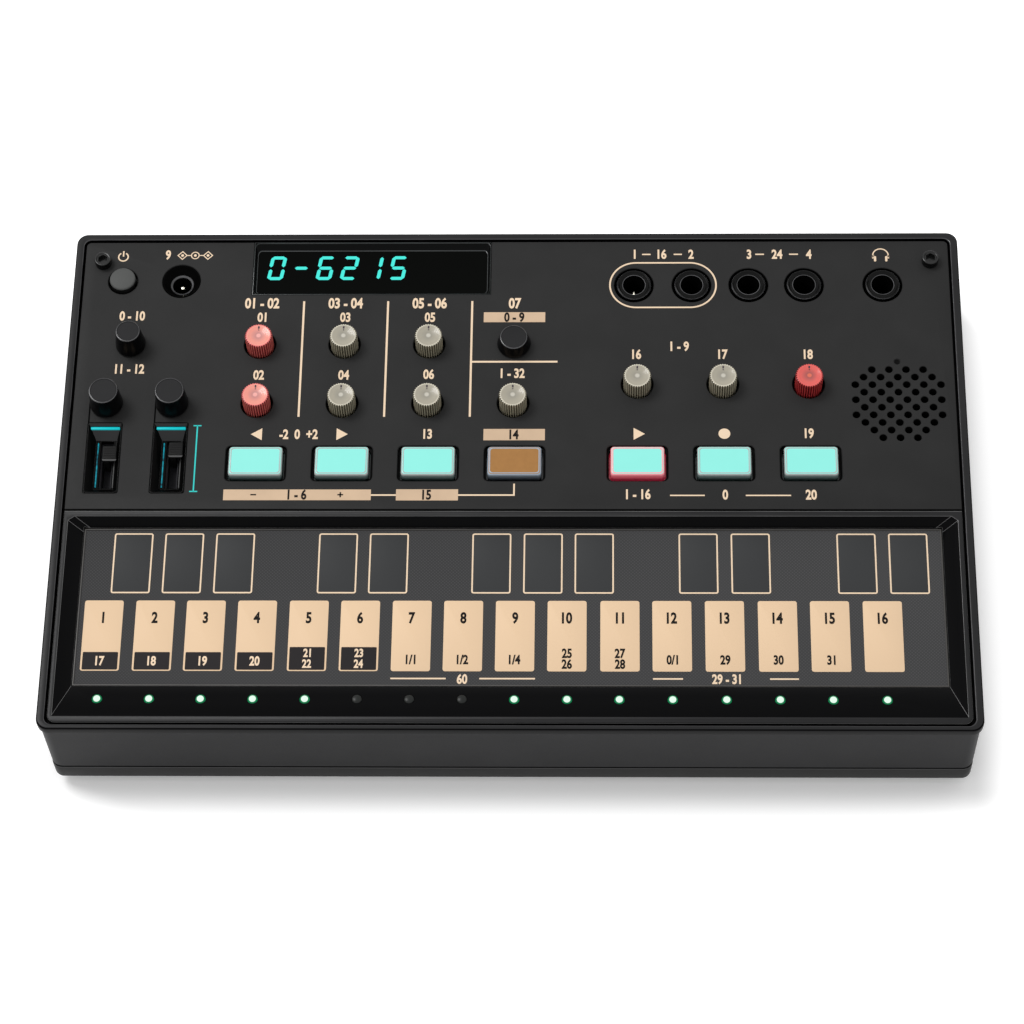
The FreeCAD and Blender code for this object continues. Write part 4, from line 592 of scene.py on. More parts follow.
def buildBay(lower, sizes):
    x, front, rear, wall = sizes["x"], sizes["front"], sizes["rear"], sizes["wall"]
    foot = caseSizes["trayFoot"]
    block = box("bayBlock", -x - wall, -front - wall, caseSizes["trayFloor"] - 1, x + wall, wall - rear,
                sizes["roof"] + wall)
    combine(lower, [block], "UNION")
    combine(lower, [box("bay", -x, -front, foot - 1, x, -rear, sizes["roof"])])
    margin = sizes["seatMargin"]
    seatFront = -front - margin
    seatRear = margin + sizes["travel"] - rear
    levels = [(0, foot - 1), (0, foot + sizes["seatDepth"])]
    seat = drawUp("seat", 0, (seatFront + seatRear) / 2, 2 * (x + margin), seatRear - seatFront, levels,
                  corner=sizes["corner"], bend=4)
    combine(lower, [seat])
    middle = -(front + rear) / 2
    half = sizes["tabLength"] / 2
    travel = sizes["travel"]

    def cutTabs(inset, start, low, end, high):
        # Four boxes into the bay's sides, each start and end measured from the middle of its tab
        cutters = []
        for side, row in fourWays:
            y = middle + row * sizes["tabSpread"]
            reach = x + margin + sizes["tabReach"] - inset
            inner, outer = sorted((side * (x + 1 + inset), side * reach))
            cutters.append(box("tabCut", inner, y + start, low, outer, y + end, high))
        combine(lower, cutters)

    cutTabs(0, travel - half, foot - 1, travel + half, sizes["tabRunTop"])
    cutTabs(0.05, -half, sizes["tabRunFoot"], half + travel - 1, sizes["tabRunTop"] - 0.02)
    radius, edge = sizes["boreRadius"], sizes["boreEdge"]
    rings = [(radius + edge, foot - 1), (radius + edge, foot), (radius, foot + edge),
             (radius, foot + sizes["boreDepth"])]
    cutters = [turned("counterbore", side * sizes["towerX"], end * sizes["towerY"], rings, 32)
               for side, end in fourWays]
    combine(lower, cutters)
    seam = caseSizes["trayTop"]

    def lowerLook(spot, normal):
        # Top of the tray, in the gap under the upper shell: painted shade
        if spot.z > seam - 0.01 and normal.z > 0.95:
            return 2
        # Rounded top edge of the tray: painted highlight
        return seam - 0.3 < spot.z < seam - 0.01 and 0.2 < normal.z < 0.95

    looks = [finishes["caseLow"], finishes["seamHighlight"], finishes["recess"]]
    paint(tidyMesh(lower), looks, lowerLook)
    finishPiece(lower, "case", looks, ["lower_case"])


buildBay(buildCase(caseSizes), baySizes)
print("case built")


# Top panel

panelTop = 28.3
panelSizes = {
    "x": 94.3, "front": -8.75, "rear": 57.45, "under": 26.3, "top": panelTop, "corner": 1.0, "edge": 0.14,
    "buttonWidth": 12.1, "buttonDepth": 7.6, "buttonCorner": 1.0, "recessGrow": 0.45, "recessDepth": 0.9,
    "wellWidth": 7.5, "wellLength": 17.2, "wellY": 3.6, "grooveWidth": 0.35, "grooveDepth": 0.4,
    "grooveFront": 12.0, "grooveRear": 19.6, "holePitch": 3.65, "holeRadius": 0.82, "grilleReach": 10.4,
    "grilleX": 82.2, "grilleY": 17.0, "grilleRows": 10, "grilleFirst": 8.6, "grilleRow": 1.85, "dimpleY": 27,
    "knobHole": 6.9, "shaftHole": 3.7, "socketHole": 8.6, "inletHole": 8.4, "powerHole": 6.5,
    "screwHole": 2.9, "windowHole": (-57.4, -5.15, 43.9),
}
leftColumns = [-54.9, -36.6, -18.3, 0.0]
rightColumns = [26.5, 44.8, 63.1]
ribbedKnobs = {
    "modulator_attack_knob": (leftColumns[0], 31.4), "modulator_decay_knob": (leftColumns[0], 16.8),
    "carrier_attack_knob": (leftColumns[1], 31.4), "carrier_decay_knob": (leftColumns[1], 16.8),
    "lfo_rate_knob": (leftColumns[2], 31.4), "lfo_depth_knob": (leftColumns[2], 16.8),
    "algorithm_knob": (leftColumns[3], 16.8), "arp_type_knob": (rightColumns[0], 21.4),
    "arp_division_knob": (rightColumns[1], 21.4), "tempo_knob": (rightColumns[2], 21.4),
}
smoothKnobs = {
    "volume_knob": (-82.9, 31.4, 3.25, 2.62, 5.85), "data_knob_left": (-87.1, 16.6, 3.5, 3.08, 6.1),
    "data_knob_right": (-73.0, 16.6, 3.5, 3.08, 6.1), "program_knob": (0.0, 31.4, 3.6, 2.95, 3.2),
}
buttonColumns = {
    "octave_down_button": -54.4, "octave_up_button": -36.1, "save_button": -17.8, "edit_button": 0.5,
    "play_button": 26.5, "record_button": 44.8, "memory_button": 63.1,
}
buttonRow = 2.2
socketColumns = {
    "midi_in_jack": 25.9, "midi_out_jack": 38.4, "sync_in_jack": 50.75, "sync_out_jack": 62.8,
    "headphone_jack": 79.8,
}
socketRow = 46.3
inletSpot = (-72.9, 47.5)
powerSpot = (-85.7, 47.5)
screwSpots = [(-90.3, 52.2), (90.3, 52.2)]
wellColumns = [-87.1, -73.0]


def buildPanel(sizes):
    under, top, edge = sizes["under"], sizes["top"], sizes["edge"]
    middle = (sizes["rear"] + sizes["front"]) / 2
    panel = box("panelSheet", -sizes["x"], sizes["front"], under, sizes["x"], sizes["rear"], top)
    bevelled(panel, lambda a, b: a.y > middle and upright(a, b), sizes["corner"], 6)
    bevelled(panel, facesUp, edge, 2, "FACE")

    def throughLevels(grow):
        return [(0, under - 1), (0, top - grow), (grow, top), (grow, top + 1)]

    holes = [(x, y, sizes["knobHole"], 48) for x, y in ribbedKnobs.values()]
    holes += [(values[0], values[1], sizes["shaftHole"], 24) for values in smoothKnobs.values()]
    holes += [(x, socketRow, sizes["socketHole"], 64) for x in socketColumns.values()]
    holes += [(*inletSpot, sizes["inletHole"], 64), (*powerSpot, sizes["powerHole"], 64)]
    holes += [(x, y, sizes["screwHole"], 24) for x, y in screwSpots]
    cutters = [drawUp("hole", x, y, wide, wide, throughLevels(edge), sides=sides)
               for x, y, wide, sides in holes]
    pitch, wide = sizes["holePitch"], 2 * sizes["holeRadius"]
    for row in range(sizes["grilleRows"]):
        for column in range(-4, 5):
            across = (column + row % 2 / 2) * pitch
            back = row * sizes["grilleRow"] - sizes["grilleFirst"]
            if math.hypot(across, back) <= sizes["grilleReach"]:
                spot = (sizes["grilleX"] + across, sizes["grilleY"] + back)
                cutters.append(drawUp("grille", *spot, wide, wide, throughLevels(0.1), sides=24))
    dimple = [(-0.25, top - 0.3), (-0.1, top - 0.26), (0, top - 0.1), (0.05, top), (0.05, top + 1)]
    cutters.append(drawUp("dimple", sizes["grilleX"], sizes["dimpleY"], 1.4, 1.4, dimple, sides=24))
    combine(panel, cutters)

    cutters = []
    recess = top - sizes["recessDepth"]
    grow = sizes["recessGrow"]
    buttonLevels = [(0, under - 1), (0, recess), (grow, recess), (grow, top - edge), (grow + edge, top),
                    (grow + edge, top + 1)]
    for x in buttonColumns.values():
        cutters.append(drawUp("recess", x, buttonRow, sizes["buttonWidth"], sizes["buttonDepth"],
                              buttonLevels, corner=sizes["buttonCorner"]))
    for x in wellColumns:
        cutters.append(drawUp("wellHole", x, sizes["wellY"], sizes["wellWidth"], sizes["wellLength"],
                              throughLevels(0.08), corner=0.5))
    left, right, front = sizes["windowHole"]
    cutters.append(box("windowHole", left, front, under - 1, right, sizes["rear"] + 1, top + 1))
    combine(panel, cutters)
    cutters = []
    for x in wellColumns:
        left = x - sizes["wellWidth"] / 2
        cutters.append(box("groove", left, sizes["grooveFront"], top - sizes["grooveDepth"],
                           left + sizes["grooveWidth"], sizes["grooveRear"], top + 1))
    combine(panel, cutters)
    # Walls and floors below the panel's face: painted shade
    looks = paint(tidyMesh(panel), [finishes["panel"], finishes["recess"]],
                  lambda spot, normal: spot.z < top - 0.2)
    finishPiece(panel, "case", looks, ["top_panel"])


buildPanel(panelSizes)
print("panel built")


# Keyboard bezel with its slopes and lights

bezelSizes = {
    "x": 94.3, "rear": -9.1, "front": -57.9, "corner": 1.7, "under": 26.3, "top": panelTop, "bodyUnder": 24.3,
    "bodyX": 92.65, "bodyFront": -56.25, "bodyRear": -6.5,
    "upper": (-93.35, -56.35, 93.35, -10.4), "lower": (-90.2, -48.7, 90.2, -12.05), "foot": 26.0,
    "mitre": 0.9, "lightY": -52.05, "lightRadius": 1.02, "lightGap": 0.08, "lightTop": 26.95,
    "dark": (6, 7, 8),
    "lightColumns": (-84.5, -73.8, -63.2, -52.5, -41.8, -31.1, -20.4, -9.6, 1.1, 11.9, 22.6, 33.5, 44.5, 55.4,
                     66.2, 77.2),
}


def buildBezel(sizes):
    top = sizes["top"]
    middle = (sizes["front"] + sizes["rear"]) / 2
    bezel = box("bezelFrame", -sizes["x"], sizes["front"], sizes["under"], sizes["x"], sizes["rear"], top)
    bevelled(bezel, lambda a, b: a.y < middle and upright(a, b), sizes["corner"], 8)
    bevelled(bezel, facesUp, 0.18, 2, "FACE")
    bodyX, under = sizes["bodyX"], sizes["under"]
    body = box("bezelBody", -bodyX, sizes["bodyFront"], sizes["bodyUnder"], bodyX, sizes["bodyRear"],
               under + 0.2)
    left, front, right, rear = sizes["lower"]
    shelf = box("shelf", -bodyX, sizes["rear"], under, bodyX, sizes["bodyRear"] + 1, under + 1)
    combine(body, [shelf])
    combine(bezel, [body], "UNION")
    slopes = wedge("slopes", sizes["lower"], sizes["foot"], sizes["upper"], top)
    bevelled(slopes, lambda a, b: abs(a.z - b.z) > 1 and a.y > middle, sizes["mitre"], 1)
    raiseTop(slopes)
    combine(bezel, [slopes])
    combine(bezel, [box("plateHole", left, front, sizes["bodyUnder"] - 1, right, rear, sizes["foot"] + 0.5)])
    # The rounded strips take the painted highlight
    softened(bezel, 0.16, 2, looks=[finishes["bezel"], finishes["bezelHighlight"]], edgeLook=1)
    cutters = []
    reach = sizes["lightRadius"] + sizes["lightGap"]
    for x in sizes["lightColumns"]:
        cutters.append(turned("lightHole", x, sizes["lightY"], [(reach, 23), (reach, 30)], 32))
    combine(bezel, cutters)
    # Flat tops of the bezel take the painted sheen, and its rounded strips keep their painted highlight
    looks = paint(tidyMesh(bezel, 24), [finishes["bezel"], finishes["bezelHighlight"], finishes["ledgeTop"]],
                  lambda spot, normal: 2 if normal.z > 0.95 and spot.z > top - 0.02 else 0, 1)
    finishPiece(bezel, "case", looks, ["keyboard_bezel"])


def buildLights(sizes):
    radius, rise = sizes["lightRadius"], sizes["lightTop"]
    rings = [(radius, sizes["bodyUnder"]), (radius, rise)]
    for step in range(1, 6):
        turn = math.pi / 2 * step / 6
        rings.append((radius * math.cos(turn), rise + 0.35 * math.sin(turn)))
    light = tidyMesh(turned("stepLight", 0, sizes["lightY"], rings, 32))
    glowing, dark = [], []
    for index, x in enumerate(sizes["lightColumns"], start=1):
        spot = copyAt(light, "stepLight%d" % index, x, 0)
        (dark if index in sizes["dark"] else glowing).append(spot)
    bpy.data.meshes.remove(light.data)
    core = lit("stepLightWhite", (232, 255, 240), 0.95)
    halo = lit("stepLightGreen", (16, 122, 74), 0.9)
    shown = joined("stepLightsLit", glowing)
    looks = paint(shown, [core, halo], lambda spot, normal: spot.z < rise + 0.23)
    finishPiece(shown, "case", looks, ["step_leds"])
    finishPiece(joined("stepLightsDark", dark), "case",
                moulded("stepLightOff", (30, 32, 31), 0.3, depth=0.003, specular=0.2))


buildBezel(bezelSizes)
buildLights(bezelSizes)
print("bezel built")


# Knobs

knobSizes = {
    "radius": 2.95, "height": 3.9, "sink": 1.6, "ribs": 34, "rib": 0.24, "edge": 0.3, "face": 2.4,
    "dish": 0.05, "pointer": (2.0, 0.34, 0.62, 0.1), "dash": (1.38, 0.3, 0.22, 0.08),
    "shaftRadius": 1.5, "shaftFoot": 19.4,
}


def shaft(x, y, top):
    radius = knobSizes["shaftRadius"]
    return turned("shaft", x, y, [(radius, knobSizes["shaftFoot"]), (radius, top)], 24)


colouredKnobs = {
    "modulator_attack_knob": "knob_pink", "modulator_decay_knob": "knob_pink", "tempo_knob": "knob_red",
}
# Colours of each knob: top and rib are its plastic, core and rim are painted highlights, shade and groove are
# painted shade
knobLooks = {
    "knob_pink": {"top": (248, 169, 153), "shade": (206, 150, 146), "core": (250, 190, 182),
                  "rib": (206, 108, 100), "groove": (124, 36, 44), "rim": (238, 130, 128)},
    "knob_red": {"top": (234, 108, 101), "shade": (176, 96, 92), "core": (234, 124, 96), "rib": (184, 62, 62),
                 "groove": (96, 16, 24), "rim": (226, 98, 94)},
    "knob_clear": {"top": (182, 176, 160), "shade": (164, 160, 148), "core": (214, 210, 198),
                   "rib": (166, 160, 140), "groove": (88, 82, 68), "rim": (226, 220, 202)},
}


def knobFinish(name, look, x, y, top):
    # Smoky plastic, with painted shade in its grooves and near its middle, and painted highlights along its
    # rim and over the shaft in its middle
    material = moulded(name, look["top"], 0.24, mottle=0.05, spread=1.6, depth=0.002, specular=0.3, coat=0.3)
    tree, shader, tones = partsOf(material)
    centred = node(tree, "Mapping", vector_type="POINT", Location=(-x * mm, -y * mm, 0))
    tree.links.new(objectPlace(tree), centred.inputs["Vector"])
    parts = node(tree, "SeparateXYZ")
    tree.links.new(centred.outputs["Vector"], parts.inputs[0])
    flat = node(tree, "CombineXYZ")
    tree.links.new(parts.outputs["X"], flat.inputs["X"])
    tree.links.new(parts.outputs["Y"], flat.inputs["Y"])
    distance = node(tree, "VectorMath", operation="LENGTH")
    tree.links.new(flat.outputs[0], distance.inputs[0])
    reach = distance.outputs["Value"]
    radius = knobSizes["radius"]
    # Painted highlight over the shaft, painted shade round it and a painted highlight along the rim
    rings = [(0.0, "core"), (0.12, "core"), (0.2, "shade"), (0.6, "top"), (0.82, "top"), (0.88, "rim")]
    face = ramp(tree, reach, 0, radius, [(spot, look[tone]) for spot, tone in rings])
    # Painted shade: the grooves between the ribs are darker
    side = ramp(tree, reach, radius - knobSizes["rib"], radius, [(0.0, look["groove"]), (1.0, look["rib"])])
    depth = mapped(tree, parts.outputs["Z"], (top - 0.16) * mm, (top - 0.04) * mm)
    weather(tree, shader, mixed(tree, side, face, depth), tones, 0.82)
    shader.inputs["Subsurface Weight"].default_value = 0.12
    shader.inputs["Subsurface Radius"].default_value = (1, 0.9, 0.8)
    shader.inputs["Subsurface Scale"].default_value = 0.5 * mm
    return material


def buildRibbedKnobs(sizes):
    radius, edge = sizes["radius"], sizes["edge"]
    foot = panelTop - sizes["sink"]
    top = panelTop + sizes["height"]
    face, level = sizes["face"], top - sizes["dish"]
    rings = [(radius, foot), (radius, top - edge), (radius - edge * 0.35, top - edge * 0.3),
             (radius - edge, top), (face, top), (face - 0.1, level)]
    count = sizes["ribs"]
    knob = turned("knob", 0, 0, rings, count * 4)
    pick(knob, lambda spot: (round(math.atan2(spot.y, spot.x) / (math.tau / count / 4)) % 4 in (0, 1)
                             and math.hypot(spot.x, spot.y) > radius - edge * 0.5), "VERT")
    shrink = (radius - sizes["rib"]) / radius
    bpy.ops.transform.resize(value=(shrink, shrink, 1), center_override=(0, 0, 0))
    leaveEdit()
    knob = tidyMesh(joined("knob", [knob, shaft(0, 0, foot)]), 30)
    marks = []
    for y, width, length, corner in (sizes["pointer"], sizes["dash"]):
        marks.append(drawUp("pointer", 0, y, width, length, inkLevels(level), corner=corner, bend=2))
    mark = tidyMesh(joined("pointer", marks))
    pointerFinish = moulded("pointerInk", (70, 62, 70), 0.5, depth=0.002)
    for name, (x, y) in ribbedKnobs.items():
        slotName = colouredKnobs.get(name, "knob_clear")
        twin = copyAt(knob, name + "Cap", x, y)
        plastic = knobFinish(name + "Plastic", knobLooks[slotName], x, y, top)
        finishPiece(twin, name, plastic, [name])
        finishPiece(copyAt(mark, name + "Pointer", x, y), name, pointerFinish)
    bpy.data.meshes.remove(knob.data)
    bpy.data.meshes.remove(mark.data)


def buildSmoothKnobs():
    for name, (x, y, footRadius, rimRadius, height) in smoothKnobs.items():
        foot = panelTop + 0.4
        top = panelTop + height
        rings = [(footRadius - 0.1, foot), (footRadius, foot + 0.1), (rimRadius + 0.03, top - 0.35)]
        rings += [(rimRadius - 0.01, top - 0.18), (rimRadius - 0.1, top - 0.05), (rimRadius - 0.22, top),
                  (rimRadius - 0.32, top), (rimRadius - 0.42, top - 0.06)]
        knob = tidyMesh(joined("knob", [turned("knob", x, y, rings, 64), shaft(x, y, foot)]), 30)
        knob.name = name + "Cap"

        def knobLook(spot, normal):
            reach = math.hypot(spot.x - x, spot.y - y)
            if spot.z < top - 0.15:
                return 0
            # The outer ring of the top takes the painted highlight, and the middle the grey top
            return 1 if reach < rimRadius - 0.36 else 2 if reach > rimRadius - 0.18 else 0

        looks = paint(knob, [finishes["knobBlack"], finishes["knobTop"], finishes["knobHighlight"]], knobLook)
        finishPiece(knob, name, looks, [name])


buildRibbedKnobs(knobSizes)
buildSmoothKnobs()
print("knobs built")


# Buttons

buttonSizes = {
    "width": 11.4, "depth": 6.9, "corner": 0.7, "edge": 0.5, "top": 29.6, "foot": 25.9, "litGrow": -0.5,
    "shadeFoot": 27.2, "flangeX": 6.6, "flangeY": 4.35, "flangeFoot": 25.4, "stem": 1.5, "stemFoot": 20.0,
}


def buttonGlass(name, top, middle, foot):
    # Clear cap round the light, with a painted highlight along its top edge and painted shade down its sides
    material = moulded(name, middle, 0.25, mottle=0.04, spread=3, depth=0.002, specular=0.4, coat=0.3)
    tree, shader, tones = partsOf(material)
    parts = node(tree, "SeparateXYZ")
    tree.links.new(objectPlace(tree), parts.inputs[0])
    stops = [(0.0, foot), (0.6, middle), (0.92, top)]
    shades = ramp(tree, parts.outputs["Z"], buttonSizes["shadeFoot"], buttonSizes["top"], stops)
    weather(tree, shader, shades, tones, 0.85)
    return material


def buildButtons(sizes):
    top = sizes["top"]
    levels = [(0, sizes["foot"])] + roundOver(sizes["edge"], 0, top, steps=6)
    levels += [(sizes["litGrow"] - 0.05, top), (sizes["litGrow"] - 0.1, top - 0.05)]
    cap = drawUp("cap", 0, buttonRow, sizes["width"], sizes["depth"], levels, corner=sizes["corner"])
    wide, deep, half = sizes["flangeX"], sizes["flangeY"], sizes["stem"]
    foot = sizes["flangeFoot"]
    flange = box("flange", -wide, buttonRow - deep, foot, wide, buttonRow + deep, sizes["foot"] + 0.05)
    stem = box("stem", -half, buttonRow - half, sizes["stemFoot"], half, buttonRow + half, foot + 0.1)
    cap = tidyMesh(joined("cap", [cap, flange, stem]))
    glass = buttonGlass("buttonGrey", (186, 194, 192), (122, 141, 139), (62, 78, 76))
    glassEdit = buttonGlass("buttonGreyBlue", (168, 182, 196), (112, 122, 132), (58, 62, 68))
    glassPlay = buttonGlass("buttonPink", (255, 170, 178), (244, 128, 142), (218, 56, 88))
    redGlow = glassPlay.node_tree.nodes["Principled BSDF"]
    redGlow.inputs["Emission Color"].default_value = screen(240, 60, 90)
    redGlow.inputs["Emission Strength"].default_value = 0.1
    teal = lit("buttonTeal", (149, 242, 230), 0.5, uneven=0.015, spread=4)
    amber = lit("buttonAmber", (165, 119, 69), 0.2, uneven=0.05, spread=1.2)
    looks = {
        "edit_button": ("button_amber", glassEdit, amber), "play_button": ("button_play", glassPlay, teal),
    }
    for name, x in buttonColumns.items():
        slotName, frameFinish, litFinish = looks.get(name, ("button_clear", glass, teal))
        twin = copyAt(cap, name + "Cap", x, 0)
        paint(twin, [frameFinish, litFinish],
              lambda spot, normal: normal.z > 0.9 and abs(spot.z - top + 0.05) < 0.03)
        finishPiece(twin, name, [frameFinish, litFinish], [name])
    bpy.data.meshes.remove(cap.data)


powerSizes = {
    "cap": [(2.8, 25.9), (2.8, 29.1), (2.74, 29.3), (2.6, 29.44), (2.4, 29.5)], "faceFoot": 29.2,
    "flange": [(3.7, 25.4), (3.7, 26.0)], "stem": 1.1, "stemFoot": 20.0, "stemTop": 25.5,
}


def buildPowerButton(sizes):
    x, y = powerSpot
    half = sizes["stem"]
    cap = turned("cap", x, y, sizes["cap"], 64)
    flange = turned("flange", x, y, sizes["flange"], 32)
    stem = box("stem", x - half, y - half, sizes["stemFoot"], x + half, y + half, sizes["stemTop"])
    button = tidyMesh(joined("powerCap", [cap, flange, stem]))
    looks = paint(button, [finishes["powerCap"], finishes["powerSide"]],
                  lambda spot, normal: spot.z < sizes["faceFoot"])
    finishPiece(button, "power_button", looks, ["power_button"])


buildButtons(buttonSizes)
buildPowerButton(powerSizes)
print("buttons built")


# Sockets, inlet, screws and feet

socketSizes = {
    "half": 4.7, "foot": 16.0, "top": 26.0, "boreFoot": 17.2, "boreRim": 27.6, "boreLook": 2.34,
    "collar": [(3.73, 25), (3.73, 28.1), (3.7, 28.3), (3.6, 28.44), (3.45, 28.5), (3.3, 28.47), (3.2, 28.36),
               (3.1, 28.26), (2.75, 28.22), (2.65, 28.28), (2.55, 28.36), (2.45, 28.34)],
    "bore": [(1.8, 17.1), (1.8, 26.4), (2.2, 27.1), (2.32, 27.5), (2.36, 28.1), (2.42, 28.3), (2.42, 29)],
    "contactRadius": 0.42, "contactY": -1.15, "contactTop": 26.2, "contactScale": (0.85, 2.2, 1),
    "contactDrop": 2.4,
}
inletSizes = {
    "half": 4.7, "foot": 16.0, "top": 26.0, "neck": [(4.1, 25), (4.1, 28.2), (4.02, 28.3)],
    "bore": [(2.05, 17.9), (2.05, 26.3), (2.1, 26.42), (2.22, 26.5), (2.5, 26.6), (3.7, 28.1), (3.9, 28.3),
             (3.9, 29)],
    "pin": [(0.5, 17.8), (0.5, 25.3), (0.42, 25.5), (0.25, 25.6)],
}
screwSizes = {
    "collar": [(1.8, panelTop), (1.8, 29.9), (1.74, 30.06), (1.62, 30.14), (1.5, 30.15), (1.36, 30.1),
               (1.26, 29.96)],
    "collarHex": [(1.12, 28.9), (1.12, 31)], "shank": [(1.4, 21.3), (1.4, 28.35)],
    "head": [(2.05, 3.7), (2.3, 3.85), (2.4, 4.1), (2.4, 5.2), (1.4, 5.2), (1.4, 17.7)],
    "headHex": [(1.15, 3), (1.15, 4.6)],
    "padX": 76.0, "padY": 47.0, "pad": [(4.4, 0), (4.8, 0.12), (5.0, 0.5), (5.0, 2.2)],
}


def jackBody(name, x, y, sizes, neck, boreSides):
    # A block under the panel with a round neck, bored from above
    half = sizes["half"]
    housing = box(name, x - half, y - half, sizes["foot"], x + half, y + half, sizes["top"])
    combine(housing, [turned("neck", x, y, neck, 64)], "UNION")
    combine(housing, [turned("bore", x, y, sizes["bore"], boreSides)])
    return tidyMesh(housing)


def buildSockets(sizes):
    housing = jackBody("socket", 0, socketRow, sizes, sizes["collar"], 48)
    for index, (name, x) in enumerate(socketColumns.items()):
        twin = copyAt(housing, name + "Body", x, 0)

        def socketLook(spot, normal):
            reach = math.hypot(spot.x - x, spot.y - socketRow)
            if reach < sizes["boreLook"] and sizes["boreFoot"] < spot.z < sizes["boreRim"]:
                return 1
            # Thin rings of the collar take the painted highlight
            return 2 if spot.z > panelTop and (3.58 < reach < 3.7 or reach < 2.55) else 0

        looks = paint(twin, [finishes["socket"], finishes["mouth"], finishes["socketHighlight"]], socketLook)
        finishPiece(twin, "case", looks, [name])
        spot = (x * mm, (socketRow + sizes["contactY"]) * mm, sizes["contactTop"] * mm)
        bpy.ops.mesh.primitive_uv_sphere_add(segments=16, ring_count=8, radius=sizes["contactRadius"] * mm,
                                             location=spot)
        contact = joined(name + "Contact", [bpy.context.object])
        contact.scale = sizes["contactScale"]
        settle()
        if index:
            # Only the first socket's contact stands this near the mouth
            editAll(contact)
            bpy.ops.transform.translate(value=(0, 0, -sizes["contactDrop"] * mm))
            leaveEdit()
        finishPiece(tidyMesh(contact), "case", finishes["brightPin"])
    bpy.data.meshes.remove(housing.data)


def buildInlet(sizes):
    x, y = inletSpot
    housing = jackBody("inlet", x, y, sizes, sizes["neck"], 64)

    def inletLook(spot, normal):
        reach = math.hypot(spot.x - x, spot.y - y)
        if reach < 2.07 and 17.9 < spot.z < 26.3:
            return 1
        # A ring at the foot of the funnel takes the painted highlight
        return 2 if reach < 2.45 and 26.2 < spot.z < 26.7 else 0

    looks = [finishes["inlet"], finishes["mouth"], finishes["socketHighlight"]]
    paint(housing, looks, inletLook)
    finishPiece(housing, "case", looks, ["dc_jack"])
    pin = tidyMesh(turned("inletPin", x, y, sizes["pin"], 32))
    finishPiece(pin, "case", finishes["brightPin"])


def buildScrews(sizes):
    # Corner screws on the panel, case screws in the bottom, and the feet
    collars = []
    for x, y in screwSpots:
        collar = turned("collar", x, y, sizes["collar"], 48)
        combine(collar, [turned("hex", x, y, sizes["collarHex"], 6)])
        collars += [collar, turned("shank", x, y, sizes["shank"], 24)]
    finishGroup("cornerScrews", collars, finishes["collar"], ["corner_screws"])
    screws, pads = [], []
    for side, end in fourWays:
        x, y = side * baySizes["towerX"], end * baySizes["towerY"]
        head = turned("head", x, y, sizes["head"], 32)
        combine(head, [turned("hex", x, y, sizes["headHex"], 6)])
        screws.append(head)
    finishGroup("caseScrews", screws, finishes["steel"], ["case_screws"])
    for side, end in fourWays:
        pads.append(turned("pad", side * sizes["padX"], end * sizes["padY"], sizes["pad"], 48))
    finishGroup("feetPads", pads, finishes["rubber"], ["rubber_feet"])


buildSockets(socketSizes)
buildInlet(inletSizes)
buildScrews(screwSizes)
print("sockets and screws built")


# Slider wells, their levers and their light guides

wellSizes = {
    "y": 3.6, "width": 7.3, "length": 17.0, "corner": 0.45, "under": 25.4, "floor": 26.3, "top": panelTop,
    "lip": 0.2, "left": 1.5, "right": 1.0, "front": 1.6, "rear": 3.1, "slotX": 0.5, "slotWidth": 2.7,
    "slotInset": 0.3, "lineX": -1.45, "lineWidth": 0.22, "lineInset": 0.6, "lineTop": 26.4, "lineFoot": 25.9,
    "seatGap": 0.05, "barWidth": 6.2, "barY": 11.05, "barDepth": 0.6, "barTop": 27.81, "barFoot": 26.95,
    "bend": 0.45,
}
leverSizes = {
    "shift": 0.85, "width": 3.0, "length": 3.5, "top": 28.2, "under": 27.3, "foot": 22.1, "stemWidth": 1.3,
    "stemLength": 2.4, "corner": 0.3, "lip": 0.5, "lipDrop": 0.3, "restY": {"left": 4.8, "right": 5.7},
    "round": 0.22, "grooveRows": (-0.7, -0.15, 0.4, 0.95), "grooveHalf": 0.05, "grooveInset": 0.3,
    "grooveDepth": 0.06,
}


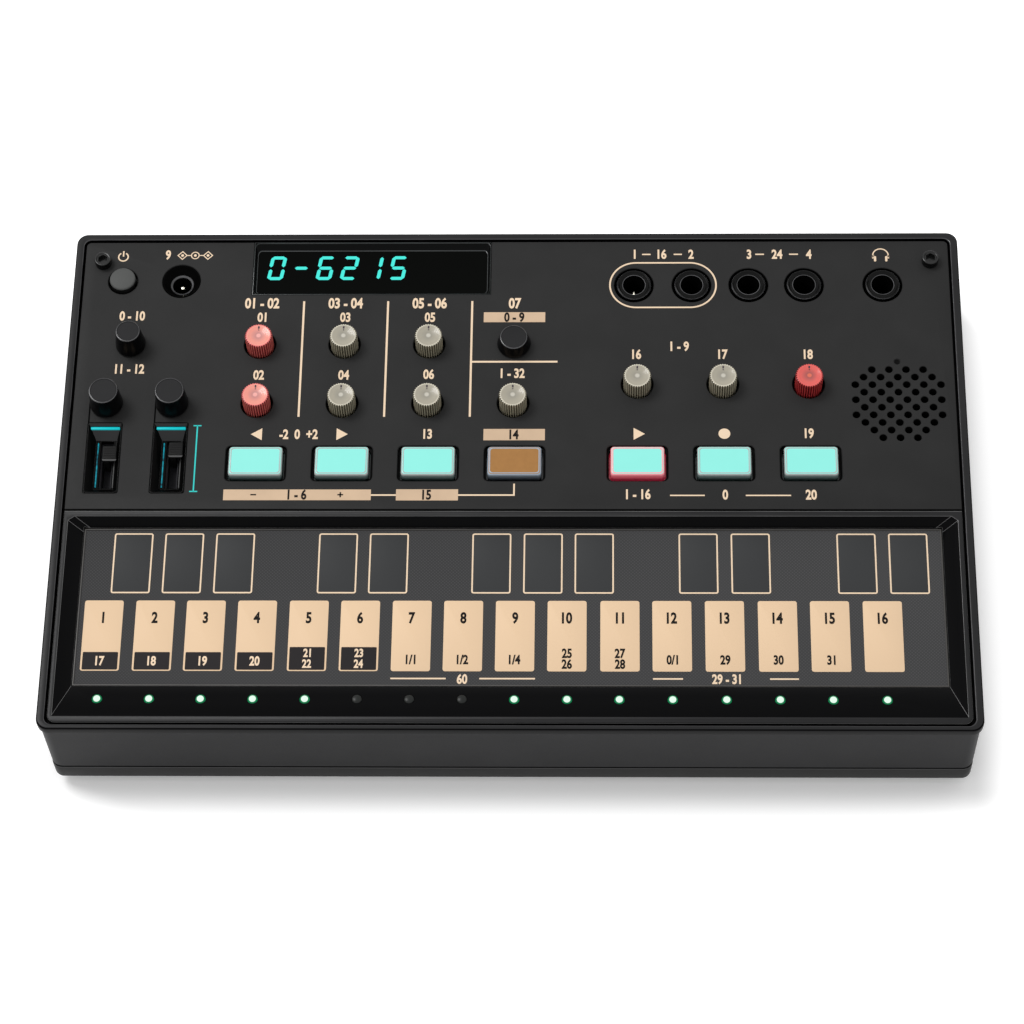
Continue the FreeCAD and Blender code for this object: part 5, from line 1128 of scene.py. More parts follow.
def buildWell(side, x, sizes):
    y, top, floor = sizes["y"], sizes["top"], sizes["floor"]
    halfX = sizes["width"] / 2 - sizes["lip"]
    halfY = sizes["length"] / 2 - sizes["lip"]
    levels = [(0, sizes["under"]), (0, top - 0.06), (-0.06, top)]
    well = drawUp("well", x, y, sizes["width"], sizes["length"], levels, corner=sizes["corner"], bend=4)
    upper = (x - halfX, y - halfY, x + halfX, y + halfY)
    lower = (x - halfX + sizes["left"], y - halfY + sizes["front"], x + halfX - sizes["right"],
             y + halfY - sizes["rear"])
    pocket = wedge("pocket", lower, floor, upper, top)
    bevelled(pocket, lambda a, b: abs(a.z - b.z) > 1 and a.y < y, sizes["bend"], 4)
    raiseTop(pocket)
    combine(well, [pocket])
    finish = [finishes["well"], finishes["wellSlopeSheen"], finishes["mouth"], finishes["wellHighlight"]]
    # The rounded strips take the painted highlight
    softened(well, 0.09, 2, looks=finish, edgeLook=3)
    _, front, right, rear = lower
    slotX, half = x + sizes["slotX"], sizes["slotWidth"] / 2
    inset = sizes["slotInset"]
    slot = box("slot", slotX - half, front + inset, 20, slotX + half, rear - inset, 28)
    gap, lineX, lineHalf = sizes["seatGap"], x + sizes["lineX"], sizes["lineWidth"] / 2
    lineFront, lineRear = front + sizes["lineInset"], rear - sizes["lineInset"]
    seat = box("lineSeat", lineX - lineHalf - gap, lineFront - gap, sizes["lineFoot"],
               lineX + lineHalf + gap, lineRear + gap, 28)
    barX, barY, barHalf = sizes["barWidth"] / 2, sizes["barY"], sizes["barDepth"] / 2
    barSeat = box("barSeat", x - barX - gap, barY - barHalf - gap, sizes["barFoot"], x + barX + gap,
                  barY + barHalf + gap, 29)
    combine(well, [slot, seat])
    combine(well, [barSeat])

    def wellLook(spot, normal):
        if spot.z < floor - 0.05:
            return 2
        # The rear slope facing the front takes the painted light
        return spot.y > rear - 0.05 and normal.y < -0.3

    looks = paint(tidyMesh(well, 24), finish, wellLook, 3)
    finishPiece(well, "case", looks, ["slider_well_" + side])
    rail = box("rail", right - 0.3, front + 0.3, floor - 0.1, right - 0.04, rear - 2.2, floor + 0.22)
    finishGroup("rail" + side.title(), [softened(rail, 0.06)], finishes["rail"])
    light = softened(box("bar", x - barX, barY - barHalf, sizes["barFoot"], x + barX, barY + barHalf,
                         sizes["barTop"]), 0.12)
    line = softened(box("line", lineX - lineHalf, lineFront, sizes["lineFoot"], lineX + lineHalf, lineRear,
                        sizes["lineTop"]), 0.08)
    guide = joined("lightGuide" + side.title(), [light, line])
    looks = paint(tidyMesh(guide), [finishes["tealBar"], finishes["tealLine"]],
                  lambda spot, normal: spot.y < rear)
    finishPiece(guide, "case", looks, ["slider_lights"] if side == "left" else [])


def buildLever(side, x, sizes):
    stemX = x + wellSizes["slotX"]
    capX, y = stemX + sizes["shift"], sizes["restY"][side]
    width, length, top = sizes["width"], sizes["length"], sizes["top"]
    levels = [(-0.1, sizes["under"]), (0, sizes["under"] + 0.1)] + roundOver(sizes["round"], 0, top)
    cap = drawUp("cap", capX, y, width, length, levels, corner=sizes["corner"], bend=4)
    front = y - length / 2
    lipRear = front + sizes["lip"]
    lip = box("lip", capX - width, front - 1, top - sizes["lipDrop"], capX + width, lipRear, top + 1)
    combine(cap, [lip])
    reach, half, low = width / 2 - sizes["grooveInset"], sizes["grooveHalf"], top - sizes["grooveDepth"]
    grooves = [box("groove", capX - reach, y + row - half, low, capX + reach, y + row + half, top + 1)
               for row in sizes["grooveRows"]]
    combine(cap, grooves)
    softened(cap, 0.03, 1, 40)
    halfX, halfY = sizes["stemWidth"] / 2, sizes["stemLength"] / 2
    stem = softened(box("stem", stemX - halfX, y - halfY, sizes["foot"], stemX + halfX, y + halfY,
                        sizes["under"] + 0.02), 0.1)
    lever = tidyMesh(joined("lever" + side.title(), [cap, stem]))
    # The top of the lever's front step takes the painted highlight
    looks = paint(lever, [finishes["lever"], finishes["leverHighlight"]],
                  lambda spot, normal: spot.y < lipRear + 0.05 and normal.z > 0.5)
    finishPiece(lever, "slider_" + side, looks, ["slider_" + side])


for side, column in zip(("left", "right"), wellColumns):
    buildWell(side, column, wellSizes)
    buildLever(side, column, leverSizes)
print("wells built")


# Display window and its lit figures

windowSizes = {
    "left": -57.28, "right": -5.27, "front": 44.02, "rear": 57.45, "under": 26.3, "top": panelTop,
    "depth": 1.0, "lip": 0.25, "side": 0.5, "rearSlope": 1.4, "bend": 0.8, "figures": "0-6215",
    "figureX": -54.35, "figureY": 48.35, "figureWidth": 3.5, "figureHeight": 6.1, "pitch": 5.32,
    "stroke": 0.8, "slant": 7,
}
figureStrokes = {"0": "abcdef", "1": "bc", "2": "abged", "5": "afgcd", "6": "afgcde", "-": "g"}


def buildWindow(sizes):
    left, right, front, rear = sizes["left"], sizes["right"], sizes["front"], sizes["rear"]
    top = sizes["top"]
    level = top - sizes["depth"]
    window = box("displayFrame", left, front, sizes["under"], right, rear, top)
    lip, side = sizes["lip"], sizes["side"]
    upper = (left + lip, front + lip, right - lip, rear - lip)
    lower = (left + lip + side, front + lip + side, right - lip - side, rear - lip - sizes["rearSlope"])
    pocket = wedge("pocket", lower, level, upper, top)
    bevelled(pocket, lambda a, b: abs(a.z - b.z) > 0.5, sizes["bend"], 5)
    raiseTop(pocket)
    combine(window, [pocket])
    finish = [finishes["windowEdge"], finishes["glass"], finishes["windowHighlight"]]
    # The rounded strips take the painted highlight
    softened(window, 0.1, 2, looks=finish, edgeLook=2, clamp=False)
    looks = paint(tidyMesh(window, 24), finish,
                  lambda spot, normal: abs(spot.z - level) < 0.05 and normal.z > 0.99, 2)
    finishPiece(window, "case", looks, ["display_window"])


def stroke(x, y, length, thick, standing, level):
    # One lit stroke with pointed ends
    levels = [(0, level - inkSink), (-0.02, level + 0.02)]
    piece = drawUp("stroke", 0, 0, length, thick, levels, corner=thick * 0.46, bend=1)
    if standing:
        piece.rotation_euler.z = math.radians(90)
    piece.location = (x * mm, y * mm, 0)
    selectOnly(piece)
    settle()
    return piece


def buildFigures(sizes):
    level = sizes["top"] - sizes["depth"]
    width, height, thick = sizes["figureWidth"], sizes["figureHeight"], sizes["stroke"]
    half, gap = height / 2, 0.12
    long, short = half - thick / 2 - gap, width - thick * 0.7 - gap
    spots = {"a": (width / 2, height - thick / 2, False), "g": (width / 2, half, False),
             "d": (width / 2, thick / 2, False), "f": (thick / 2, half + half / 2, True),
             "b": (width - thick / 2, half + half / 2, True), "e": (thick / 2, half / 2, True),
             "c": (width - thick / 2, half / 2, True)}
    pieces = []
    for index, figure in enumerate(sizes["figures"]):
        for letter in figureStrokes[figure]:
            across, back, standing = spots[letter]
            lean = math.tan(math.radians(sizes["slant"])) * back
            spot = (sizes["figureX"] + index * sizes["pitch"] + across + lean, sizes["figureY"] + back)
            pieces.append(stroke(*spot, long if standing else short, thick, standing, level))
    for piece in pieces:
        # Only upright strokes are this tall, and they lean too
        heights = [corner.co.y for corner in piece.data.vertices]
        if max(heights) - min(heights) > 1.2 * mm:
            middle = sum(heights) / len(heights)
            for end in (-1, 1):
                pick(piece, lambda spot: end * (spot.y * mm - middle) > 0.3 * mm, "VERT")
                lean = math.tan(math.radians(sizes["slant"])) * end * long / 2
                bpy.ops.transform.translate(value=(lean * mm, 0, 0))
                leaveEdit()
    finishGroup("displayFigures", pieces, finishes["digits"])


buildWindow(windowSizes)
buildFigures(windowSizes)
print("display built")


# Printed marks

def newText(words, weight):
    bpy.ops.object.text_add(location=(0, 0, 0))
    text = bpy.context.object
    text.data.body = words
    text.data.offset = weight
    text.data.extrude = textDepth
    text.data.resolution_u = 3
    bpy.ops.object.convert(target="MESH")
    return bpy.context.object


def textHeight():
    # How tall this font's figures stand at a size of 1
    sample = newText("1", 0)
    height = max(corner.co.y for corner in sample.data.vertices)
    bpy.data.meshes.remove(sample.data)
    return height


textDepth = 0.01
figureSize = textHeight()


def printed(words, x, y, height, surface, condense=0.74, weight=0.034):
    # Figures of this height, centred on x and y
    text = newText(words, weight)
    scale = height * mm / figureSize
    lowX = min(corner.co.x for corner in text.data.vertices)
    highX = max(corner.co.x for corner in text.data.vertices)
    text.scale = (scale * condense, scale, (inkRise + inkSink) / 2 * mm / textDepth)
    text.location = (x * mm - (lowX + highX) / 2 * scale * condense, (y - height / 2) * mm,
                     (surface + (inkRise - inkSink) / 2) * mm)
    settle()
    return text


def bar(left, front, right, rear, surface):
    return box("bar", left, front, surface - inkSink, right, rear, surface + inkRise)


def dot(x, y, radius, surface, sides):
    return drawUp("dot", x, y, 2 * radius, 2 * radius, inkLevels(surface), sides=sides)


def thicken(rise=inkRise):
    # Gives the open flat piece the thickness of ink and leaves it
    bpy.ops.mesh.select_all(action="SELECT")
    extrudeUp(rise + inkSink)
    faceOutward()


def outlined(left, front, right, rear, corner, line, surface, rise=inkRise, bend=6):
    # A raised closed line round a rectangle
    spot = ((left + right) / 2 * mm, (front + rear) / 2 * mm, (surface - inkSink) * mm)
    bpy.ops.mesh.primitive_plane_add(size=mm, location=spot)
    piece = bpy.context.object
    piece.scale = (right - left, rear - front, 1)
    settle()
    editAll(piece)
    bpy.ops.mesh.bevel(offset=corner * mm, segments=bend, affect="VERTICES")
    bpy.ops.mesh.select_all(action="SELECT")
    bpy.ops.mesh.inset(thickness=line * mm)
    bpy.ops.mesh.delete(type="ONLY_FACE")
    thicken(rise)
    return piece


def ringLine(x, y, radius, line, surface, keep=None, sides=48):
    # A raised ring, or the part of it that keep picks by its angle in degrees
    spot = (x * mm, y * mm, (surface - inkSink) * mm)
    bpy.ops.mesh.primitive_circle_add(vertices=sides, radius=radius * mm, fill_type="NGON", location=spot)
    piece = bpy.context.object
    settle()
    editAll(piece)
    bpy.ops.mesh.inset(thickness=line * mm)
    bpy.ops.mesh.delete(type="ONLY_FACE")
    leaveEdit()
    if keep:
        pick(piece, lambda spot, normal: not keep(math.degrees(math.atan2(spot.y - y, spot.x - x)) % 360))
        bpy.ops.mesh.delete(type="FACE")
        leaveEdit()
    editAll(piece)
    thicken()
    return piece


def triangle(x, y, width, depth, surface, pointing=1):
    # An arrow head that points to the right, or with -1 to the left
    spot = (0, 0, (surface - inkSink) * mm)
    bpy.ops.mesh.primitive_circle_add(vertices=3, radius=mm, fill_type="NGON", location=spot)
    piece = bpy.context.object
    across = [corner.co.x for corner in piece.data.vertices]
    along = [corner.co.y for corner in piece.data.vertices]
    if max(across) - min(across) > max(along) - min(along):
        piece.rotation_euler.z = math.radians(-90)
        bpy.ops.object.transform_apply(location=False, rotation=True, scale=False)
    piece.scale = (pointing * width / 1.5, depth / math.sqrt(3), 1)
    settle()
    piece.location = ((x - pointing * width / 6) * mm, y * mm, 0)
    editAll(piece)
    thicken()
    selectOnly(piece)
    settle()
    return piece


panelPrint = {
    "lines": [(-46.02, 13.5, -45.58, 42.3), (-27.72, 13.5, -27.28, 42.3), (-9.42, 13.5, -8.98, 42.3),
              (-8.98, 26.83, 9.4, 27.27),
              (-29.7, -5.6, -24.4, -5.25), (-11.3, -5.6, 0.65, -5.25), (0.3, -5.25, 0.65, -2.7),
              (33.3, -5.65, 40.6, -5.35), (49.2, -5.65, 58.7, -5.35),
              (27.7, 53.98, 29.55, 54.3), (34.6, 53.98, 36.4, 54.3), (52.4, 53.95, 54.3, 54.27),
              (59.75, 53.95, 61.7, 54.27)],
    "bars": [(-6.64, 36.95, 6.68, 39.45), (-6.2, 7.75, 6.86, 10.5), (-60.9, -6.65, -29.7, -4.1),
             (-24.4, -6.7, -11.3, -4.05)],
    "arrows": [(-54.6, 9.25, -1), (-36.3, 9.25, 1), (26.9, 9.3, 1)],
    "tall": [("01 - 02", -54.93, 41.83), ("03 - 04", -36.74, 41.8), ("05 - 06", -18.46, 41.77),
             ("07", 0.08, 41.73)],
    "plain": [("01", -54.82, 38.28), ("03", -36.7, 38.25), ("05", -18.31, 38.22), ("02", -54.82, 23.82),
              ("04", -36.51, 23.8), ("06", -18.23, 23.96), ("1 - 32", -0.18, 24.18),
              ("0 - 10", -83.1, 38.66), ("11 - 12", -82.77, 25.35), ("-2  0  +2", -45.57, 9.24),
              ("13", -18.07, 9.3), ("9", -76.2, 54.26), ("1", 26.09, 54.19), ("16", 32.05, 54.18),
              ("2", 38.38, 54.16), ("3", 51.03, 54.13), ("24", 57.13, 54.12), ("4", 64.04, 54.1),
              ("1 - 9", 35.69, 30.85), ("16", 26.43, 28.87), ("17", 44.96, 28.85), ("18", 63.25, 28.82),
              ("19", 62.93, 9.42), ("1 - 16", 26.64, -5.23), ("0", 44.91, -5.32), ("20", 62.94, -5.32)],
    "dark": [("0 - 9", -0.03, 38.2), ("14", 0.3, 9.15), ("1 - 6", -45.29, -5.33), ("15", -17.91, -5.35)],
    "signs": [(-55.15, -5.5, -53.95, -5.2), (-36.75, -5.5, -35.55, -5.2), (-36.3, -5.95, -36.0, -4.75)],
    "plainSize": 2.15, "tallSize": 2.4, "arrow": (2.4, 2.9), "dot": (44.95, 9.33, 1.25),
    "loop": (20.5, 40.45, 43.9, 52.15), "loopCorner": 5.84, "loopLine": 0.36,
}
symbolPrint = {
    "power": (-86.06, 53.75), "powerRadius": 1.2, "powerLine": 0.3, "powerGap": (62, 118),
    "plugX": (-73.05, -70.25, -67.45), "plugY": 54.1, "plugLine": 0.22, "plugDot": 0.32, "dashHalf": 0.4,
    "headphone": (79.65, 53.75), "bandRadius": 1.82, "bandLine": 0.27, "bandEnds": (195, 345),
    "scaleX": -67.3, "scaleEnds": (-4.6, 11.4), "scaleHalf": 0.15, "scaleFoot": 0.85,
}


def buildPanelPrint(marks, top):
    bars = [bar(*line, top) for line in marks["bars"]]
    finishGroup("printBars", bars, finishes["printBar"])
    parts = [bar(*line, top) for line in marks["lines"]]
    parts += [triangle(x, y, *marks["arrow"], top, pointing) for x, y, pointing in marks["arrows"]]
    parts.append(dot(*marks["dot"], top, 32))
    parts.append(outlined(*marks["loop"], marks["loopCorner"], marks["loopLine"], top, bend=16))
    finishGroup("panelPrint", parts, finishes["print"])
    words = [printed(*label, marks["plainSize"], top) for label in marks["plain"]]
    words += [printed(*label, marks["tallSize"], top) for label in marks["tall"]]
    finishGroup("panelNumbers", words, finishes["print"])
    words = [printed(*label, marks["plainSize"], top + inkRise) for label in marks["dark"]]
    words += [bar(*sign, top + inkRise) for sign in marks["signs"]]
    finishGroup("barNumbers", words, finishes["printDark"])


def buildSymbols(marks, top):
    # Power, plug polarity and headphone marks, and the scale between the sliders
    x, y = marks["power"]
    gapStart, gapEnd = marks["powerGap"]
    parts = [ringLine(x, y, marks["powerRadius"], marks["powerLine"], top,
                      keep=lambda angle: not gapStart < angle < gapEnd),
             bar(x - 0.16, y + 0.1, x + 0.16, y + 1.5, top)]
    y = marks["plugY"]
    for x, pointed in zip(marks["plugX"], (True, False, True)):
        radius, sides = (1.15, 4) if pointed else (0.95, 32)
        parts.append(ringLine(x, y, radius, marks["plugLine"], top, sides=sides))
        parts.append(dot(x, y, marks["plugDot"], top, 16))
    half = marks["plugLine"] / 2
    for x in (-71.55, -68.95):
        parts.append(bar(x - marks["dashHalf"], y - half, x + marks["dashHalf"], y + half, top))
    x, y = marks["headphone"]
    bandStart, bandEnd = marks["bandEnds"]
    parts.append(ringLine(x, y, marks["bandRadius"], marks["bandLine"], top,
                          keep=lambda angle: angle < bandStart or angle > bandEnd))
    for side in (-1, 1):
        parts.append(drawUp("pad", x + side * 1.22, y - 0.85, 0.5, 1.35, inkLevels(top), corner=0.2, bend=3))
        inner, outer = sorted((x + side * 1.42, x + side * 1.84))
        parts.append(bar(inner, y - 0.75, outer, y + 0.05, top))
    finishGroup("panelSymbols", parts, finishes["print"])
    x, half, foot = marks["scaleX"], marks["scaleHalf"], marks["scaleFoot"]
    front, rear = marks["scaleEnds"]
    parts = [bar(x - half, front, x + half, rear, top)]
    for footFront, footRear in ((front - 0.1, front + 0.18), (rear - 0.2, rear + 0.08)):
        parts.append(bar(x - foot, footFront, x + foot, footRear, top))
    # The teal scale is printed ink with a painted glow
    finishGroup("sliderScale", parts, finishes["teal"])


buildPanelPrint(panelPrint, panelTop)
buildSymbols(symbolPrint, panelTop)
print("print built")


# Touch plate and its printed keys

plateSizes = {
    "x": 90.05, "front": -48.55, "rear": -12.2, "under": 24.3, "surface": 25.7, "edgeTop": 25.95, "edge": 0.3,
}
keySizes = {
    "columns": (-84.7, -73.95, -63.35, -52.65, -41.85, -31.15, -20.4, -9.7, 1.05, 11.8, 22.75, 33.5, 44.4,
                55.35, 66.15, 77.05),
    "darkColumns": (-79.5, -68.8, -58.05, -36.35, -25.65, -4.1, 6.7, 17.4, 39.15, 50.05, 72.15, 82.95),
    "width": 8.1, "front": -45.1, "rear": -28.95, "corner": 0.5, "surface": 25.7, "rise": 0.05,
    "darkFront": -27.27, "darkRear": -13.2, "darkWidth": 8.2, "darkInset": 0.3, "darkCorner": 0.3,
    "line": 0.32, "lineRise": 0.06, "numberY": -32.9, "numberSize": 2.35,
    "boxes": {1: "17", 2: "18", 3: "19", 4: "20"}, "boxFront": -44.85, "boxRear": -40.85, "boxMargin": 0.38,
    "tallBoxes": {5: ("21", "22"), 6: ("23", "24")}, "tallBoxRear": -39.65, "tallSize": 1.75,
    "labelY": -42.45, "labelSize": 1.95,
    "fractions": {7: "1/1", 8: "1/2", 9: "1/4", 12: "0/1", 13: "29", 14: "30", 15: "31"},
    "pairs": {10: ("25", "26"), 11: ("27", "28")}, "pairY": (-41.0, -43.45),
    "captions": [("60", -9.7, -46.85), ("29 - 31", 44.56, -46.8)], "captionSize": 2.0,
    "captionLines": [(-24.46, -13.06), (-6.15, 5.3), (29.51, 35.66), (53.47, 59.4)],
    "captionLineY": -46.75, "captionLineHalf": 0.17,
}


def buildPlate(sizes):
    plate = box("touchPlate", -sizes["x"], sizes["front"], sizes["under"], sizes["x"], sizes["rear"],
                sizes["edgeTop"])
    pick(plate, facesUp)
    bpy.ops.mesh.inset(thickness=sizes["edge"] * mm)
    extrudeUp(sizes["surface"] - sizes["edgeTop"])
    leaveEdit()
    softened(plate, 0.06, 2)
    looks = paint(tidyMesh(plate), [finishes["plateEdge"], finishes["plate"]], lambda spot, normal: (
        abs(spot.z - sizes["surface"]) < 0.02 and normal.z > 0.9))
    finishPiece(plate, "case", looks, ["touch_plate"])


def buildKeys(sizes):
    surface = sizes["surface"]
    middle = (sizes["front"] + sizes["rear"]) / 2
    depth = sizes["rear"] - sizes["front"]
    inkLevel = surface + sizes["rise"]
    levels = inkLevels(surface) + [(-0.04, inkLevel)]
    light, numbers, lines, dark, boxes, boxWords = [], [], [], [], [], []
    boxWidth = 2 * (sizes["width"] / 2 - sizes["boxMargin"])
    labelY, labelSize = sizes["labelY"], sizes["labelSize"]
    for step, x in enumerate(sizes["columns"], start=1):
        light.append(drawUp("key", x, middle, sizes["width"], depth, levels, corner=sizes["corner"], bend=4))
        numbers.append(printed(str(step), x, sizes["numberY"], sizes["numberSize"], inkLevel))
        if step in sizes["boxes"] or step in sizes["tallBoxes"]:
            front = sizes["boxFront"]
            rear = sizes["tallBoxRear"] if step in sizes["tallBoxes"] else sizes["boxRear"]
            boxMiddle = (front + rear) / 2
            boxes.append(drawUp("keyBox", x, boxMiddle, boxWidth, rear - front, inkLevels(inkLevel),
                                corner=0.2, bend=2))
            boxInk = inkLevel + inkRise
            if step in sizes["boxes"]:
                boxWords.append(printed(sizes["boxes"][step], x, boxMiddle, labelSize, boxInk))
            for words, y in zip(sizes["tallBoxes"].get(step, ()), sizes["pairY"]):
                boxWords.append(printed(words, x, y, sizes["tallSize"], boxInk))
        elif step in sizes["fractions"]:
            numbers.append(printed(sizes["fractions"][step], x, labelY, labelSize, inkLevel))
        elif step in sizes["pairs"]:
            for words, y in zip(sizes["pairs"][step], sizes["pairY"]):
                numbers.append(printed(words, x, y, labelSize, inkLevel))
    front, rear, half = sizes["darkFront"], sizes["darkRear"], sizes["darkWidth"] / 2
    inset = 2 * sizes["darkInset"]
    keyWidth, keyDepth = sizes["darkWidth"] - inset, rear - front - inset
    for x in sizes["darkColumns"]:
        dark.append(drawUp("darkKey", x, (front + rear) / 2, keyWidth, keyDepth, levels,
                           corner=sizes["darkCorner"], bend=3))
        lines.append(outlined(x - half, front, x + half, rear, sizes["corner"], sizes["line"], surface,
                              rise=sizes["lineRise"], bend=4))
    y, half = sizes["captionLineY"], sizes["captionLineHalf"]
    for left, right in sizes["captionLines"]:
        lines.append(bar(left, y - half, right, y + half, surface))
    for words, x, y in sizes["captions"]:
        lines.append(printed(words, x, y, sizes["captionSize"], surface))
    groups = [("lightKeys", light, "keyTan"), ("darkKeys", dark, "keyDark"), ("keyLines", lines, "print"),
              ("keyNumbers", numbers, "printDark"), ("keyBoxes", boxes, "boxDark"),
              ("keyBoxNumbers", boxWords, "print")]
    for name, parts, finish in groups:
        finishGroup(name, parts, finishes[finish])


buildPlate(plateSizes)
buildKeys(keySizes)
print("keys built")


# Batteries, their contacts and their cover

cellSizes = {
    "radius": 7.1, "length": 49.2, "cap": 1.2, "gap": 0.1, "height": 12.8, "rows": (-47.6, -32.9, -18.2),
    "start": -53.1, "spring": 4.8, "springRadius": 2.6, "springRise": 4.0, "springTurns": 4, "wire": 0.35,
    "plateX": 53.6, "plateSide": 10.0, "plateThickness": 0.5,
}
coverSizes = {
    "x": 54.75, "front": -56.2, "rear": -9.6, "low": 2.2, "high": 3.5, "corner": 1.1, "tabReach": 1.1,
    "tabHalf": 1.8, "tabRows": (-47.9, -17.9), "tabFoot": 3.0, "grooves": 5, "grooveFirst": -21.6,
    "groovePitch": 2.0, "grooveWidth": 0.9, "grooveLength": 18.0, "grooveDepth": 0.5,
}


def laid(piece, x, y, z, facing):
    # Lays an upright piece along X and puts its foot at a place
    selectOnly(piece)
    piece.rotation_euler = (0, math.radians(90 * facing), 0)
    piece.location = (x * mm, y * mm, z * mm)
    settle()
    return piece


def buildCells(sizes):
    radius, length = sizes["radius"], sizes["length"]
    rings = [(radius - 0.7, 0), (radius - 0.15, 0.1), (radius, 0.45), (radius, length - 0.7),
             (radius - 0.25, length - 0.15), (radius - 0.8, length), (3.0, length)]
    body = turned("cell", 0, 0, rings, 48)
    nub = turned("nub", 0, 0, [(2.75, length - 0.05), (2.7, length + 0.9), (2.5, length + sizes["cap"])], 32)
    cell = tidyMesh(joined("cell", [body, nub]))
    looks = paint(cell, [finishes["cell"], finishes["cellEnd"]],
                  lambda spot, normal: spot.z < 0.3 or spot.z > length - 0.4)
    bpy.ops.mesh.primitive_circle_add(vertices=8, radius=sizes["wire"] * mm, fill_type="NOTHING",
                                      location=(sizes["springRadius"] * mm, 0, sizes["wire"] * mm),
                                      rotation=(math.radians(90), 0, 0))
    spring = bpy.context.object
    settle()
    turns = sizes["springTurns"]
    modify(spring, "SCREW", axis="Z", angle=math.tau, screw_offset=sizes["springRise"] / turns * mm,
           iterations=turns, steps=20, render_steps=20, use_normal_calculate=True)
    editAll(spring)
    bpy.ops.mesh.fill_holes(sides=0)
    leaveEdit()
    tidyMesh(spring, 60)
    cells, contacts = [], []
    for row, y in enumerate(sizes["rows"]):
        facing = -1 if row % 2 else 1
        start = facing * sizes["start"]
        contacts.append(laid(copyAt(spring, "spring", 0, 0), start, y, sizes["height"], facing))
        for column in range(2):
            foot = sizes["spring"] + sizes["gap"] + column * (length + sizes["cap"] + sizes["gap"])
            cells.append(laid(copyAt(cell, "cell", 0, 0), start + facing * foot, y, sizes["height"], facing))
        for side in (-1, 1):
            outer = side * sizes["plateX"]
            left, right = sorted((outer, outer - side * sizes["plateThickness"]))
            half, height = sizes["plateSide"] / 2, sizes["height"]
            plate = box("plate", left, y - half, height - half, right, y + half, height + half)
            contacts.append(softened(plate, 0.15))
    bpy.data.meshes.remove(cell.data)
    bpy.data.meshes.remove(spring.data)
    finishPiece(joined("batteryCells", cells), "case", looks, ["batteries"])
    finishPiece(joined("batteryContacts", contacts), "case", finishes["contact"],
                ["battery_contacts"])


def buildCover(sizes):
    x, front, rear, low, high = sizes["x"], sizes["front"], sizes["rear"], sizes["low"], sizes["high"]
    levels = [(-0.3, low), (-0.09, low + 0.09), (0, low + 0.3), (0, high)]
    cover = drawUp("batteryLid", 0, (front + rear) / 2, 2 * x, rear - front, levels, corner=sizes["corner"],
                   bend=5)
    levels = [(0.12, low - 1), (0.12, low), (0, low + 0.12), (0, low + sizes["grooveDepth"])]
    grooves = []
    for index in range(sizes["grooves"]):
        y = sizes["grooveFirst"] + index * sizes["groovePitch"]
        grooves.append(drawUp("groove", 0, y, sizes["grooveLength"], sizes["grooveWidth"], levels, corner=0.4,
                              bend=4))
    combine(cover, grooves)
    tabs = []
    half = sizes["tabHalf"]
    for side in (-1, 1):
        for y in sizes["tabRows"]:
            left, right = sorted((side * (x - 0.1), side * (x + sizes["tabReach"])))
            tabs.append(softened(box("tab", left, y - half, sizes["tabFoot"], right, y + half, high), 0.1))
    combine(cover, tabs, "UNION")
    finishPiece(tidyMesh(cover), "battery_cover", finishes["caseLow"], ["battery_cover"])


buildCells(cellSizes)
buildCover(coverSizes)
print("battery bay filled")


# CAD pieces that keep their shape

keptFinishes = {
    "touch_sensor_board": "board", "main_board": "board", "speaker": "speaker", "potentiometers": "component",
    "button_switches": "component", "power_switch": "component", "slide_potentiometers": "component",
    "display_module": "component", "board_header": "component",
}
for name, finish in keptFinishes.items():
    mesh = nodes[name].data
    if len(mesh.materials) == 0:
        mesh.materials.append(finishes[finish])
    for index in range(len(mesh.materials)):
        mesh.materials[index] = finishes[finish]
print("CAD pieces finished")


# Studio

cameraSetup = {
    "place": (0.020352, -0.333933, 0.646312), "turn": (27.71239, 1.46327, 0.78339), "lens": 116.944,
}
studio = {
    "worldLight": 0.67, "keyPower": 10.3, "keyPlace": (-0.72, 0.42, 1.25), "keySize": 0.6,
    # nearGlow is the floor's low glow at the case, a painted shadow
    "floorColour": (252, 252, 252), "nearGlow": 0.15, "farGlow": 0.58, "glowReach": 8.5,
}


def seenDirectly(tree):
    # 1 for what the camera sees, straight or by way of metal and glass, and 0 for the light on the object
    rays = node(tree, "LightPath")
    first = node(tree, "Math", operation="MAXIMUM")
    second = node(tree, "Math", operation="MAXIMUM")
    tree.links.new(rays.outputs["Is Camera Ray"], first.inputs[0])
    tree.links.new(rays.outputs["Is Glossy Ray"], first.inputs[1])
    tree.links.new(first.outputs[0], second.inputs[0])
    tree.links.new(rays.outputs["Is Transmission Ray"], second.inputs[1])
    return second.outputs[0]


def buildCamera(setup):
    camera = bpy.data.objects.new("camera", bpy.data.cameras.new("camera"))
    bpy.context.scene.collection.objects.link(camera)
    camera.location = setup["place"]
    camera.rotation_euler = [math.radians(angle) for angle in setup["turn"]]
    camera.data.lens = setup["lens"]
    camera.data.sensor_width = 36
    camera.data.clip_start = 0.01
    bpy.context.scene.camera = camera


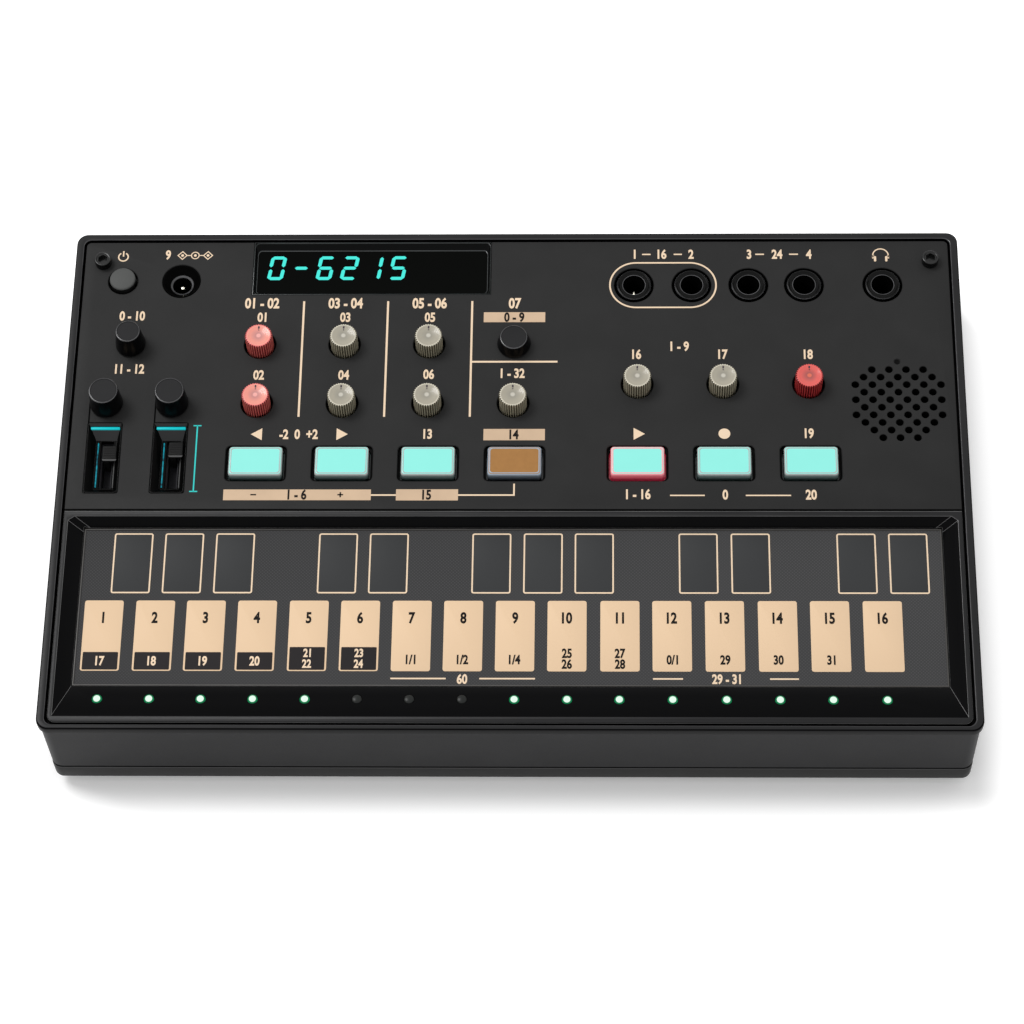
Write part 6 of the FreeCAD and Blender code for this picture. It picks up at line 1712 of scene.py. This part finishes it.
def buildFloor(light):
    bpy.ops.mesh.primitive_plane_add(size=12, location=(0, 0, 0))
    floor = bpy.context.object
    floor.name = "floor"
    material, tree, shader = startMaterial("floorWhite")
    shader.inputs["Base Color"].default_value = screen(*light["floorColour"])
    shader.inputs["Roughness"].default_value = 0.9
    shader.inputs["Specular IOR Level"].default_value = 0.0
    shader.inputs["Emission Color"].default_value = (1, 1, 1, 1)
    # The floor glows less near the case and more away from it: a painted shadow round its feet, over the
    # shadow the case casts
    folded = node(tree, "VectorMath", operation="ABSOLUTE")
    beyond = node(tree, "VectorMath", operation="SUBTRACT")
    beyond.inputs[1].default_value = (caseSizes["width"] / 2 * mm, caseSizes["depth"] / 2 * mm, 0)
    outside = node(tree, "VectorMath", operation="MAXIMUM")
    gap = node(tree, "VectorMath", operation="LENGTH")
    tree.links.new(objectPlace(tree), folded.inputs[0])
    tree.links.new(folded.outputs[0], beyond.inputs[0])
    tree.links.new(beyond.outputs[0], outside.inputs[0])
    tree.links.new(outside.outputs[0], gap.inputs[0])
    rising = mapped(tree, gap.outputs["Value"], 0, light["glowReach"] * mm, light["nearGlow"],
                    light["farGlow"], "SMOOTHSTEP")
    glow = node(tree, "Math", operation="MULTIPLY")
    tree.links.new(rising, glow.inputs[1])
    tree.links.new(seenDirectly(tree), glow.inputs[0])
    tree.links.new(glow.outputs[0], shader.inputs["Emission Strength"])
    floor.data.materials.append(material)


def buildLight(light):
    world = bpy.data.worlds.new("studio")
    bpy.context.scene.world = world
    world.use_nodes = True
    tree = world.node_tree
    backdrop = tree.nodes["Background"]
    backdrop.inputs["Color"].default_value = (1, 1, 1, 1)
    strength = mapped(tree, seenDirectly(tree), 0, 1, light["worldLight"], 1)
    tree.links.new(strength, backdrop.inputs["Strength"])
    lamp = bpy.data.lights.new("keyLight", "AREA")
    lamp.energy = light["keyPower"]
    lamp.size = light["keySize"]
    lampObject = bpy.data.objects.new("keyLight", lamp)
    bpy.context.scene.collection.objects.link(lampObject)
    lampObject.location = light["keyPlace"]
    aim = -lampObject.location
    lampObject.rotation_euler = aim.to_track_quat("-Z", "Y").to_euler()


buildCamera(cameraSetup)
buildFloor(studio)
buildLight(studio)
bpy.context.scene.view_settings.view_transform = "Standard"
print("studio built")
